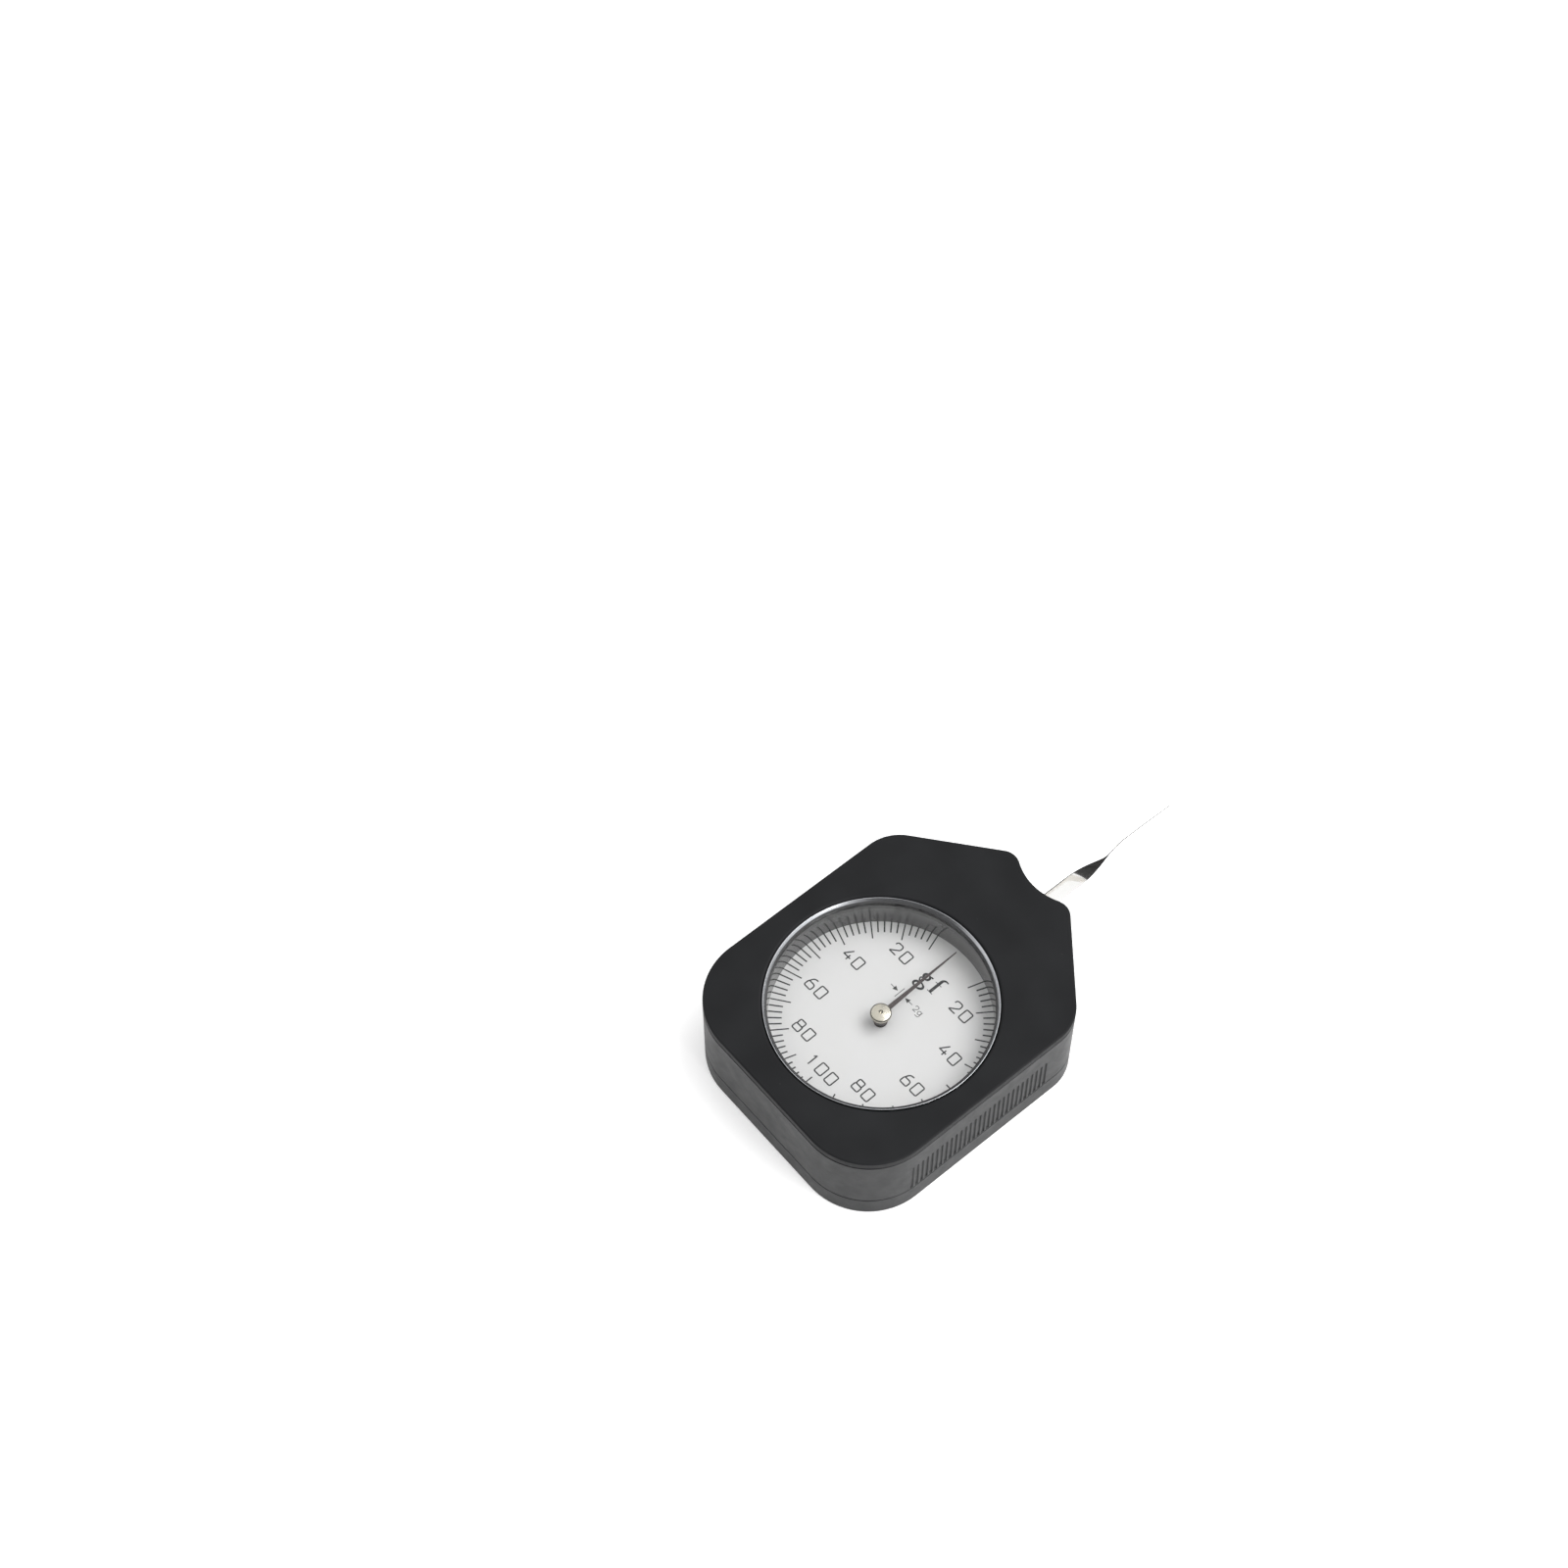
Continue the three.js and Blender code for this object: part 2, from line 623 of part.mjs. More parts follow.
// Screws that point up from their head, which has a crossed recess
const makeScrew = ({ x, y }, head, shank, seat, length, headHeight) => {
  const headEnd = seat - headHeight;
  const body = turned([
    [0, headEnd], [head, headEnd], [head, seat], [shank, seat], [shank, seat + length], [0, seat + length],
  ], x, y);
  const reach = head * recessReachShare;
  const half = recessWidth / 2;
  const low = headEnd - cutOverrun;
  const high = headEnd + recessDepth;
  return cut(body, [
    box(x - reach, x + reach, y - half, y + half, low, high),
    box(x - half, x + half, y - reach, y + reach, low, high),
  ]);
};

const makeCaseScrew = place => {
  const seat = caseScrewSink + caseScrewHeadHeight;
  const length = caseThickness - coverSkin - screwTipGap - seat;
  return makeScrew(place, caseScrewHeadRadius, caseScrewRadius, seat, length, caseScrewHeadHeight);
};

const makeMovementScrew = place => makeScrew(
  place, movementScrewHeadRadius, movementScrewRadius, lowerPlateBottom, movementScrewLength,
  movementScrewHeadHeight,
);

const makePlateScrew = place => {
  const slotReach = plateScrewHeadRadius * recessReachShare;
  const seat = upperPlateTop - plateScrewHeadHeight;
  const body = turned([
    [0, seat - plateScrewLength], [plateScrewRadius, seat - plateScrewLength], [plateScrewRadius, seat],
    [plateScrewHeadRadius, seat], [plateScrewHeadRadius, upperPlateTop], [0, upperPlateTop],
  ], place.x, place.y);
  return cut(body, [box(
    place.x - slotReach, place.x + slotReach, place.y - recessWidth / 2, place.y + recessWidth / 2,
    upperPlateTop - recessDepth / 2, upperPlateTop + cutOverrun,
  )]);
};

const makeStopPin = ({ x, y }) => cylinder(
  x, y, stopPinRadius, lowerPlateBottom, lowerPlateTop + stopPinHeight,
);

// Pointer group
const makePointerArbor = () => turned([
  [0, lowerPlateBottom + endShake],
  [pointerPivotRadius, lowerPlateBottom + endShake],
  [pointerPivotRadius, lowerPlateTop + endShake],
  [pointerArborRadius, lowerPlateTop + endShake],
  [pointerArborRadius, upperPlateBottom - endShake],
  [pointerPivotRadius, upperPlateBottom - endShake],
  [pointerPivotRadius, hubTop - hubDimpleDepth - arborTopGap - pointerPivotRadius],
  [0, hubTop - hubDimpleDepth - arborTopGap - pointerPivotRadius],
]);

const makePinion = () => {
  const outline = Array.from({ length: pinionTeeth }, (_, i) => tooth(
    pinionGear, 0, 0, Math.PI / 2 + (i + 1 / 2) * 2 * Math.PI / pinionTeeth,
  )).flat();
  const bore = circle(0, 0, pointerArborRadius + boreGap, smallRound);
  return slab(outline, pinionBottom, pinionTop, [bore]);
};

const makePointer = () => {
  const rootHalf = pointerRootWidth / 2;
  const tipHalf = pointerTipWidth / 2;
  const rootAngle = Math.acos(rootHalf / pointerEyeRadius);
  const outline = [
    ...arc(0, 0, pointerEyeRadius, Math.PI - rootAngle, 2 * Math.PI + rootAngle, 2 * Math.PI / hubRound),
    new THREE.Vector2(tipHalf, pointerLength),
    new THREE.Vector2(-tipHalf, pointerLength),
  ];
  const eye = circle(0, 0, hubStemRadius + boreGap, smallRound);
  return slab(outline, pointerBottom, pointerTop, [eye]).rotateZ(pointerRestAngle);
};

const makePointerHub = () => {
  const bore = pointerPivotRadius + pivotGap;
  const boreTop = hubTop - hubDimpleDepth - arborTopGap;
  const bossRound = Math.min(hubCapRound, (pointerBottom - hubBossBottom) / 2);
  const rim = arc(
    hubCapRadius - hubCapRound, hubTop - hubCapRound, hubCapRound, 0, Math.PI / 2, Math.PI / 6,
  );
  return turned([
    [0, boreTop - pointerPivotRadius], [bore, boreTop - pointerPivotRadius], [bore, hubBossBottom],
    [hubBossRadius - bossRound, hubBossBottom], [hubBossRadius, hubBossBottom + bossRound],
    [hubBossRadius, pointerBottom], [hubStemRadius, pointerBottom], [hubStemRadius, pointerTop],
    [hubCapRadius - hubCapRound, pointerTop], [hubCapRadius, pointerTop + hubCapRound],
    ...rim.map(({ x, y }) => [x, y]),
    [hubDimpleRadius, hubTop], [0, hubTop - hubDimpleDepth],
  ], 0, 0, hubRound);
};

// Feeler group
const makeFeelerArbor = () => turned([
  [0, lowerPlateBottom + endShake],
  [feelerPivotRadius, lowerPlateBottom + endShake],
  [feelerPivotRadius, lowerPlateTop + endShake],
  [feelerCollarRadius, lowerPlateTop + endShake],
  [feelerCollarRadius, sectorBottom],
  [feelerArborRadius, sectorBottom],
  [feelerArborRadius, upperPlateBottom - endShake],
  [feelerPivotRadius, upperPlateBottom - endShake],
  [feelerPivotRadius, upperPlateTop - endShake],
  [0, upperPlateTop - endShake],
], 0, feelerPivotHeight);

const makeSectorGear = () => {
  const down = -Math.PI / 2;
  const toothStep = 2 * Math.PI / sectorFullTeeth;
  const halfSpan = toothStep * sectorTeeth / 2;
  const rimInner = sectorWheel.rootRadius - sectorRimWidth;
  const about = (radius, angle) => arc(0, feelerPivotHeight, radius, angle, angle)[0];
  const teeth = Array.from({ length: sectorTeeth - 1 }, (_, i) => tooth(
    sectorWheel, 0, feelerPivotHeight, down + (i + 1 - sectorTeeth / 2) * toothStep,
  )).flat();
  const hubSide = Math.PI / 2 - halfSpan;
  const outline = [
    about(rimInner, down - halfSpan),
    about(sectorWheel.rootRadius, down - halfSpan),
    ...teeth,
    about(sectorWheel.rootRadius, down + halfSpan),
    about(rimInner, down + halfSpan),
    ...arc(0, feelerPivotHeight, sectorHubRadius, -hubSide, Math.PI + hubSide, arcStep * 2),
  ];
  const spoke = angleRadius => Math.asin(sectorSpokeWidth / angleRadius);
  const windowOuter = halfSpan - spoke(rimInner);
  const windowRoot = sectorHubRadius + sectorSpokeWidth * 2;
  const windowInner = halfSpan - spoke(windowRoot) / 2;
  const window = [
    ...arc(0, feelerPivotHeight, rimInner, down - windowOuter, down + windowOuter),
    ...arc(0, feelerPivotHeight, windowRoot, down + windowInner, down - windowInner),
  ];
  const bore = circle(0, feelerPivotHeight, feelerArborRadius + boreGap, smallRound);
  return slab(outline, sectorBottom, sectorTop, [window, bore]);
};

const makeFeelerHub = () => turned([
  [feelerArborRadius + boreGap, sectorTop], [feelerFlangeRadius, sectorTop],
  [feelerFlangeRadius, feelerBottom], [feelerStemRadius, feelerBottom], [feelerStemRadius, feelerNutTop],
  [feelerArborRadius + boreGap, feelerNutTop], [feelerArborRadius + boreGap, sectorTop],
], 0, feelerPivotHeight);

const makeFeelerNut = () => slab(
  circle(0, feelerPivotHeight, feelerNutRadius, feelerNutSides), feelerTop, feelerNutTop,
  [circle(0, feelerPivotHeight, feelerStemRadius + boreGap, smallRound)],
);

// The strip's section stays level to the twist, turns a quarter turn through it, and narrows at the tip
const feelerSection = y => {
  const progress = THREE.MathUtils.smoothstep(y, feelerTwistStart, feelerTwistStart + feelerTwistLength);
  const taper = THREE.MathUtils.smoothstep(y, feelerReach - feelerTipTaper, feelerReach);
  const half = THREE.MathUtils.lerp(feelerWidth, feelerTipWidth, taper) / 2;
  const middle = (feelerBottom + feelerTop) / 2;
  const turn = progress * Math.PI / 2;
  const corners = [[-1, -1], [1, -1], [1, 1], [-1, 1]];
  return corners.map(([across, up]) => {
    const flat = new THREE.Vector2(across * half, up * feelerThickness / 2);
    const turnedFlat = flat.rotateAround(new THREE.Vector2(), turn);
    return new THREE.Vector3(turnedFlat.x, y, middle + turnedFlat.y);
  });
};

// Skin over a row of sections, each a closed ring of as many points, with flat ends
const skin = sections => {
  const ring = sections[0].length;
  const index = [];
  for (let i = 0; i < sections.length - 1; i += 1) {
    for (let j = 0; j < ring; j += 1) {
      const [a, b] = [i * ring + j, i * ring + (j + 1) % ring];
      index.push(a, b, b + ring, a, b + ring, a + ring);
    }
  }
  const last = (sections.length - 1) * ring;
  for (let j = 1; j < ring - 1; j += 1) {
    index.push(0, j + 1, j, last, last + j, last + j + 1);
  }
  const geometry = new THREE.BufferGeometry().setFromPoints(sections.flat());
  geometry.setIndex(index);
  return facingOut(geometry);
};

const makeFeeler = () => {
  const eye = slab(circle(0, feelerPivotHeight, feelerEyeRadius, hubRound), feelerBottom, feelerTop);
  const twist = Array.from(
    { length: twistSteps + 1 }, (_, i) => feelerTwistStart + feelerTwistLength * i / twistSteps,
  );
  const tip = Array.from(
    { length: tipSteps + 1 }, (_, i) => feelerReach - feelerTipTaper * (1 - i / tipSteps),
  );
  const strip = skin([feelerPivotHeight, ...twist, ...tip].map(feelerSection));
  return cut(joined([eye, strip]), [cylinder(
    0, feelerPivotHeight, feelerStemRadius + boreGap, feelerBottom - cutOverrun, feelerTop + cutOverrun,
  )]);
};

// A ribbon wound into a flat spiral
const ribbonSpiral = ({ x, y, inner, outer, turns, thickness, bottom, height, endAngle }) => {
  const steps = turns * springStepsPerTurn;
  const sections = Array.from({ length: steps + 1 }, (_, i) => {
    const along = i / steps;
    const radius = inner + (outer - inner) * along;
    const angle = endAngle - (1 - along) * turns * 2 * Math.PI;
    const point = (offset, z) => new THREE.Vector3(
      x + (radius + offset) * Math.cos(angle), y + (radius + offset) * Math.sin(angle), z,
    );
    const half = thickness / 2;
    const top = bottom + height;
    return [point(-half, bottom), point(half, bottom), point(half, top), point(-half, top)];
  });
  return skin(sections);
};

const measuringColletRadius = feelerArborRadius + boreGap + measuringColletThickness;
const makeMeasuringSpring = () => ribbonSpiral({
  x: 0,
  y: feelerPivotHeight,
  inner: measuringColletRadius + springGap + measuringSpringThickness / 2,
  outer: measuringSpringReach,
  turns: measuringSpringTurns,
  thickness: measuringSpringThickness,
  bottom: measuringSpringBottom,
  height: measuringSpringHeight,
  endAngle: Math.PI,
});
const makeMeasuringCollet = () => turnedRing(
  feelerArborRadius + boreGap, measuringColletRadius, measuringSpringBottom,
  measuringSpringBottom + measuringSpringHeight, 0, feelerPivotHeight,
);
const makeMeasuringStud = () => cylinder(
  -measuringSpringReach - measuringSpringThickness / 2 - springGap - measuringStudRadius, feelerPivotHeight,
  measuringStudRadius, measuringSpringBottom, upperPlateBottom,
);

const hairspringColletRadius = pointerArborRadius + boreGap + hairspringColletThickness;
const makeHairspring = () => ribbonSpiral({
  x: 0,
  y: 0,
  inner: hairspringColletRadius + springGap + hairspringThickness / 2,
  outer: hairspringReach,
  turns: hairspringTurns,
  thickness: hairspringThickness,
  bottom: hairspringBottom + (hairspringColletHeight - hairspringHeight) / 2,
  height: hairspringHeight,
  endAngle: Math.PI,
});
const makeHairspringCollet = () => turnedRing(
  pointerArborRadius + boreGap, hairspringColletRadius, hairspringBottom,
  hairspringBottom + hairspringColletHeight,
);
const makeHairspringStud = () => cylinder(
  -hairspringReach - hairspringThickness / 2 - springGap - hairspringStudRadius, 0,
  hairspringStudRadius, hairspringBottom, upperPlateBottom,
);

const makeBush = (y, pivotRadius, bottom) => turnedRing(
  pivotRadius + pivotGap, bushRadius, bottom, bottom + plateThickness, 0, y,
);

// Assembly
const gauge = new THREE.Group();
const place = (name, geometry, material) => {
  const mesh = new THREE.Mesh(geometry, material);
  mesh.name = name;
  gauge.add(mesh);
};
const placeEach = (name, places, make, material) => {
  places.forEach((where, i) => place(`${name}_${i + 1}`, make(where), material()));
};

place('front_cover', makeFrontCover(), blackPlastic());
place('mid_case', makeMidCase(), blackPlastic());
place('rear_cover', makeRearCover(), blackPlastic());
place('bezel_ring', makeBezelRing(), steel());
place('crystal', makeCrystal(), paint(0xeef4f6, 0.05, 0));
place('crystal_gasket', makeGasket(), paint(0x17181a, 0.8, 0));
place('dial_well_ring', makeWellRing(), paint(0x6b6c70, 0.2, 0.3));
place('dial_plate', makeDialPlate(), paint(0xe4e4e2, 0.5, 0));
place('pointer', makePointer(), paint(0x2a2020, 0.45, 0.2));
place('pointer_hub', makePointerHub(), nickel());
place('pointer_arbor', makePointerArbor(), steel());
place('pinion', makePinion(), brass());
place('hairspring_collet', makeHairspringCollet(), brass());
place('hairspring', makeHairspring(), springSteel());
place('hairspring_stud', makeHairspringStud(), brass());
place('feeler', makeFeeler(), steel());
place('feeler_hub', makeFeelerHub(), brass());
place('feeler_nut', makeFeelerNut(), brass());
place('feeler_arbor', makeFeelerArbor(), steel());
place('sector_gear', makeSectorGear(), brass());
place('measuring_spring_collet', makeMeasuringCollet(), brass());
place('measuring_spring', makeMeasuringSpring(), springSteel());
place('measuring_spring_stud', makeMeasuringStud(), brass());
place('lower_plate', makeLowerPlate(), brass());
place('upper_plate', makeUpperPlate(), brass());
place('bush_pointer_lower', makeBush(0, pointerPivotRadius, lowerPlateBottom), nickel());
place('bush_pointer_upper', makeBush(0, pointerPivotRadius, upperPlateBottom), nickel());
place('bush_feeler_lower', makeBush(feelerPivotHeight, feelerPivotRadius, lowerPlateBottom), nickel());
place('bush_feeler_upper', makeBush(feelerPivotHeight, feelerPivotRadius, upperPlateBottom), nickel());
placeEach('pillar', pillarPlaces, makePillar, brass);
placeEach('plate_screw', pillarPlaces, makePlateScrew, steel);
placeEach('movement_screw', lugPlaces, makeMovementScrew, steel);
placeEach('stop_pin', stopPinPlaces, makeStopPin, steel);
placeEach('case_screw', bossPlaces, makeCaseScrew, steel);

export default gauge;
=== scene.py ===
"""Looks of a hand-held dial tension gauge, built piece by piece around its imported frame.

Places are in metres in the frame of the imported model: +Z out of the dial face, +Y along the feeler
and the origin where the needle's axis meets the back face.
"""
import sys
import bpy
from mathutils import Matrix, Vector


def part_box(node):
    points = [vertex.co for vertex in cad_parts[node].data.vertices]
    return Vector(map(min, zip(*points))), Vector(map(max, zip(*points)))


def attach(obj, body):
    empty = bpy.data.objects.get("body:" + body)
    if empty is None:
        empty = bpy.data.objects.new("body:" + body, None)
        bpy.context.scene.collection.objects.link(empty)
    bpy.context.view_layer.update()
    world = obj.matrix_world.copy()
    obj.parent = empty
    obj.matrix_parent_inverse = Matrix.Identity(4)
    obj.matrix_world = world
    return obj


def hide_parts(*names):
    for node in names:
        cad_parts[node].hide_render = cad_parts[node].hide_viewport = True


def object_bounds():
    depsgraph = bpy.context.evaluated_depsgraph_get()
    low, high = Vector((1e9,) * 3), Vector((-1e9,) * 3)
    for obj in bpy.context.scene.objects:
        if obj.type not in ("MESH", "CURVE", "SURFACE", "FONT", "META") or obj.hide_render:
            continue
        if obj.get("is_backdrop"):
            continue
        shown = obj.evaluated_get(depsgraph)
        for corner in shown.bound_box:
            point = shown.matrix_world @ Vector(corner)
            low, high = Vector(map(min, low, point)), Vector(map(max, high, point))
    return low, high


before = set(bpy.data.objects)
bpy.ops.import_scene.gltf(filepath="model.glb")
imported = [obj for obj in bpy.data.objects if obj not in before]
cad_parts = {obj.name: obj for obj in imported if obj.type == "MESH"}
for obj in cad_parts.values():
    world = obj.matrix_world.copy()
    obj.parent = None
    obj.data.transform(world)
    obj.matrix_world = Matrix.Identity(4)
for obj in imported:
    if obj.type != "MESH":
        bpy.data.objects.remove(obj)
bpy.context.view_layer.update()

import logging
import math
from dataclasses import dataclass, field
from enum import Enum
from typing import Callable, Iterable, Sequence

import bmesh
import bpy
from mathutils import Matrix, Vector

LOG = logging.getLogger("gauge")
MM = 0.001

# Fineness of round stretches
ARC_STEP = math.radians(3)
STRAIGHT_STEP = 1.2 * MM
CORNER_STEPS = 5
FINE_SIDES = 192
HUB_SIDES = 96
SCREW_SIDES = 64
BORE_SIDES = 48
SMALLEST_REACH = 0.02 * MM
SHARP_ANGLE = math.radians(32)
SHARPEST_MITRE = 0.5
HEIGHT_DIGITS = 7

# Where noise has its middle, and how far it is used to each side
NOISE_MIDDLE = 0.5
NOISE_REACH = 0.25

Point = tuple[float, float]
Corner = tuple[float, float, float]
Ring = list[Vector]


class Body(Enum):
    """The moving bodies of the frame."""

    CASE = "case"
    FEELER = "feeler_group"
    POINTER = "pointer_group"


class Join(Enum):
    """How one solid is worked into another."""

    ADD = "UNION"
    CUT = "DIFFERENCE"


class Direction(Enum):
    """Which way the marks of a worked surface run."""

    ALONG_X = (0.06, 1.0, 1.0)
    ALONG_Y = (1.0, 0.06, 1.0)
    ALL = (1.0, 1.0, 1.0)


def rounded_path(corners: Sequence[Corner], closed: bool, steps: int = CORNER_STEPS) -> list[Point]:
    """Follow a polyline whose corners are rounded.

    Args:
        corners: The corners as (x, y, radius of the round).
        closed: Whether the last corner joins the first.
        steps: Short stretches in each round.

    Returns:
        The points of the path.
    """
    points: list[Point] = []
    for i, (x, y, radius) in enumerate(corners):
        here = Vector((x, y))
        is_end = not closed and i in (0, len(corners) - 1)
        if radius <= 0 or is_end:
            points.append((x, y))
            continue
        before = (Vector(corners[i - 1][:2]) - here).normalized()
        after = (Vector(corners[(i + 1) % len(corners)][:2]) - here).normalized()
        half = before.angle(after) / 2
        centre = here + (before + after).normalized() * radius / math.sin(half)
        start = here + before * radius / math.tan(half) - centre
        finish = here + after * radius / math.tan(half) - centre
        turn = math.pi - 2 * half
        for k in range(steps + 1):
            share = k / steps
            spoke = start * math.sin((1 - share) * turn) + finish * math.sin(share * turn)
            points.append(tuple(centre + spoke / math.sin(turn)))
    return points


def circle_ring(radius: float, height: float, sides: int, centre: Point = (0.0, 0.0)) -> Ring:
    """Make a level circle of points, or one point where the radius is zero.

    Args:
        radius: Radius of the circle.
        height: Height of its points.
        sides: How many points it has.
        centre: Where its axis stands.

    Returns:
        The points, anticlockwise.
    """
    if radius <= 0:
        return [Vector((*centre, height))]
    angles = [2 * math.pi * i / sides for i in range(sides)]
    return [
        Vector((centre[0] + radius * math.cos(a), centre[1] + radius * math.sin(a), height))
        for a in angles
    ]


def smoothstep(value: float, low: float, high: float) -> float:
    """Rise smoothly from 0 at low to 1 at high."""
    share = min(max((value - low) / (high - low), 0.0), 1.0)
    return share * share * (3 - 2 * share)


def placed(corners: Sequence[Corner], middle: Point) -> list[Corner]:
    """Corners in millimetres about a middle, in metres."""
    return [(middle[0] + x * MM, middle[1] + y * MM, soft * MM) for x, y, soft in corners]


class Draft:
    """Collects the closed skins of one piece and makes its Blender object."""

    def __init__(self) -> None:
        """Start with an empty mesh."""
        self.mesh = bmesh.new()

    def _band(self, low: list, high: list) -> None:
        """Join two rows of vertices with faces. A row of one vertex makes a fan.

        Args:
            low: Vertices of one row.
            high: Vertices of the next row.
        """
        for i in range(max(len(low), len(high))):
            corners = (
                low[i % len(low)], low[(i + 1) % len(low)],
                high[(i + 1) % len(high)], high[i % len(high)],
            )
            self.mesh.faces.new(tuple(dict.fromkeys(corners)))

    def skin(self, rings: Sequence[Ring], cyclic: bool = False, flat_ends: bool = False) -> None:
        """Lay a skin over rings of points.

        Args:
            rings: Rings of as many points each, or of a single point at a closed end.
            cyclic: Whether the last ring joins the first.
            flat_ends: Whether the first and last rings are closed by a flat face each.
        """
        rows = [[self.mesh.verts.new(point) for point in ring] for ring in rings]
        for low, high in zip(rows, rows[1:]):
            self._band(low, high)
        if cyclic:
            self._band(rows[-1], rows[0])
        if flat_ends:
            self.mesh.faces.new(rows[0])
            self.mesh.faces.new(rows[-1])

    def turned(
        self,
        profile: Sequence[Point],
        sides: int,
        centre: Point = (0.0, 0.0),
        cyclic: bool = False,
    ) -> None:
        """Turn a profile of (radius, height) points about a vertical axis."""
        self.skin([circle_ring(r, z, sides, centre) for r, z in profile], cyclic)

    def plug(self, radius: float, heights: Point, centre: Point = (0.0, 0.0)) -> None:
        """Lay an upright cylinder, as a peg or as the tool for a hole."""
        bottom, top = heights
        self.turned([(0, bottom), (radius, bottom), (radius, top), (0, top)], BORE_SIDES, centre)

    def turn(self, angle: float) -> None:
        """Turn what is drafted so far about the needle's axis."""
        spin = Matrix.Rotation(angle, 3, "Z")
        bmesh.ops.rotate(self.mesh, cent=(0, 0, 0), matrix=spin, verts=self.mesh.verts)

    def stroke(
        self,
        path: Sequence[Point],
        width: float | Callable[[float], float],
        heights: Point,
        closed: bool = False,
    ) -> None:
        """Draw a flat line of some thickness along a path.

        Args:
            path: The points that the line follows.
            width: The line's width, or a function that gives it for a share of the path.
            heights: Where the line's solid starts and ends.
            closed: Whether the line comes back to its start.
        """
        count = len(path)
        rings: list[Ring] = []
        for i, point in enumerate(path):
            here = Vector(point)
            before = Vector(path[i - 1]) if closed or i > 0 else here
            after = Vector(path[(i + 1) % count]) if closed or i < count - 1 else here
            ahead = (after - before).normalized()
            arriving = (here - before).normalized() if here != before else ahead
            across = Vector((-ahead.y, ahead.x)) / max(ahead.dot(arriving), SHARPEST_MITRE)
            wide = width(i / (count - 1)) if callable(width) else width
            left, right = here + across * wide / 2, here - across * wide / 2
            low, high = heights
            rings.append([
                Vector((*left, low)), Vector((*right, low)),
                Vector((*right, high)), Vector((*left, high)),
            ])
        self.skin(rings, cyclic=closed, flat_ends=not closed)

    def slab(self, outline: Sequence[Point], bottom: float, top: float, edge: float = 0.0) -> None:
        """Raise a flat outline between two heights.

        Args:
            outline: The points of the outline, anticlockwise.
            bottom: Height of the lower face.
            top: Height of the upper face.
            edge: How far the upper rim is bevelled.
        """
        count = len(outline)
        inner: list[Point] = []
        for i in range(count):
            ahead = Vector(outline[(i + 1) % count]) - Vector(outline[i - 1])
            inward = Vector((-ahead.y, ahead.x)).normalized() * edge
            inner.append((outline[i][0] + inward.x, outline[i][1] + inward.y))
        rings = [[Vector((*p, bottom)) for p in outline], [Vector((*p, top - edge)) for p in outline]]
        if edge:
            rings.append([Vector((*p, top)) for p in inner])
        self.skin(rings, flat_ends=True)

    def piece(self, name: str) -> bpy.types.Object:
        """Make the Blender object of the skins collected so far.

        Args:
            name: Name of the object.

        Returns:
            The object, linked to the scene.
        """
        bmesh.ops.recalc_face_normals(self.mesh, faces=self.mesh.faces)
        data = bpy.data.meshes.new(name)
        self.mesh.to_mesh(data)
        self.mesh.free()
        obj = bpy.data.objects.new(name, data)
        bpy.context.scene.collection.objects.link(obj)
        return obj


def turned_piece(
    name: str,
    profile: Sequence[Point],
    sides: int,
    centre: Point = (0.0, 0.0),
    cyclic: bool = False,
) -> bpy.types.Object:
    """Make a piece by turning one profile about a vertical axis.

    Args:
        name: Name of the piece.
        profile: Points of (radius, height).
        sides: How many sides the piece has.
        centre: Where its axis stands.
        cyclic: Whether the profile comes back to its start.

    Returns:
        The piece.
    """
    draft = Draft()
    draft.turned(profile, sides, centre, cyclic)
    return draft.piece(name)


def work_in(target: bpy.types.Object, tool: Draft, join: Join) -> None:
    """Add a tool's solids to a piece or cut them from it, and drop the tool.

    Args:
        target: The piece.
        tool: The solids.
        join: Whether they are added or cut.
    """
    cutter = tool.piece(target.name + "_tool")
    modifier = target.modifiers.new(name="work", type="BOOLEAN")
    modifier.operation = join.value
    modifier.solver = "EXACT"
    modifier.object = cutter
    bpy.context.view_layer.update()
    graph = bpy.context.evaluated_depsgraph_get()
    worked = bpy.data.meshes.new_from_object(target.evaluated_get(graph))
    target.modifiers.clear()
    target.data = worked
    bpy.data.objects.remove(cutter)


def shade(obj: bpy.types.Object, sharp_angle: float = SHARP_ANGLE) -> None:
    """Shade a piece smooth, apart from edges that turn by more than the sharp angle.

    Args:
        obj: The piece.
        sharp_angle: The angle from which an edge stays sharp.
    """
    mesh = bmesh.new()
    mesh.from_mesh(obj.data)
    for face in mesh.faces:
        face.smooth = True
    for edge in mesh.edges:
        edge.smooth = len(edge.link_faces) == 2 and edge.calc_face_angle() < sharp_angle
    mesh.to_mesh(obj.data)
    mesh.free()


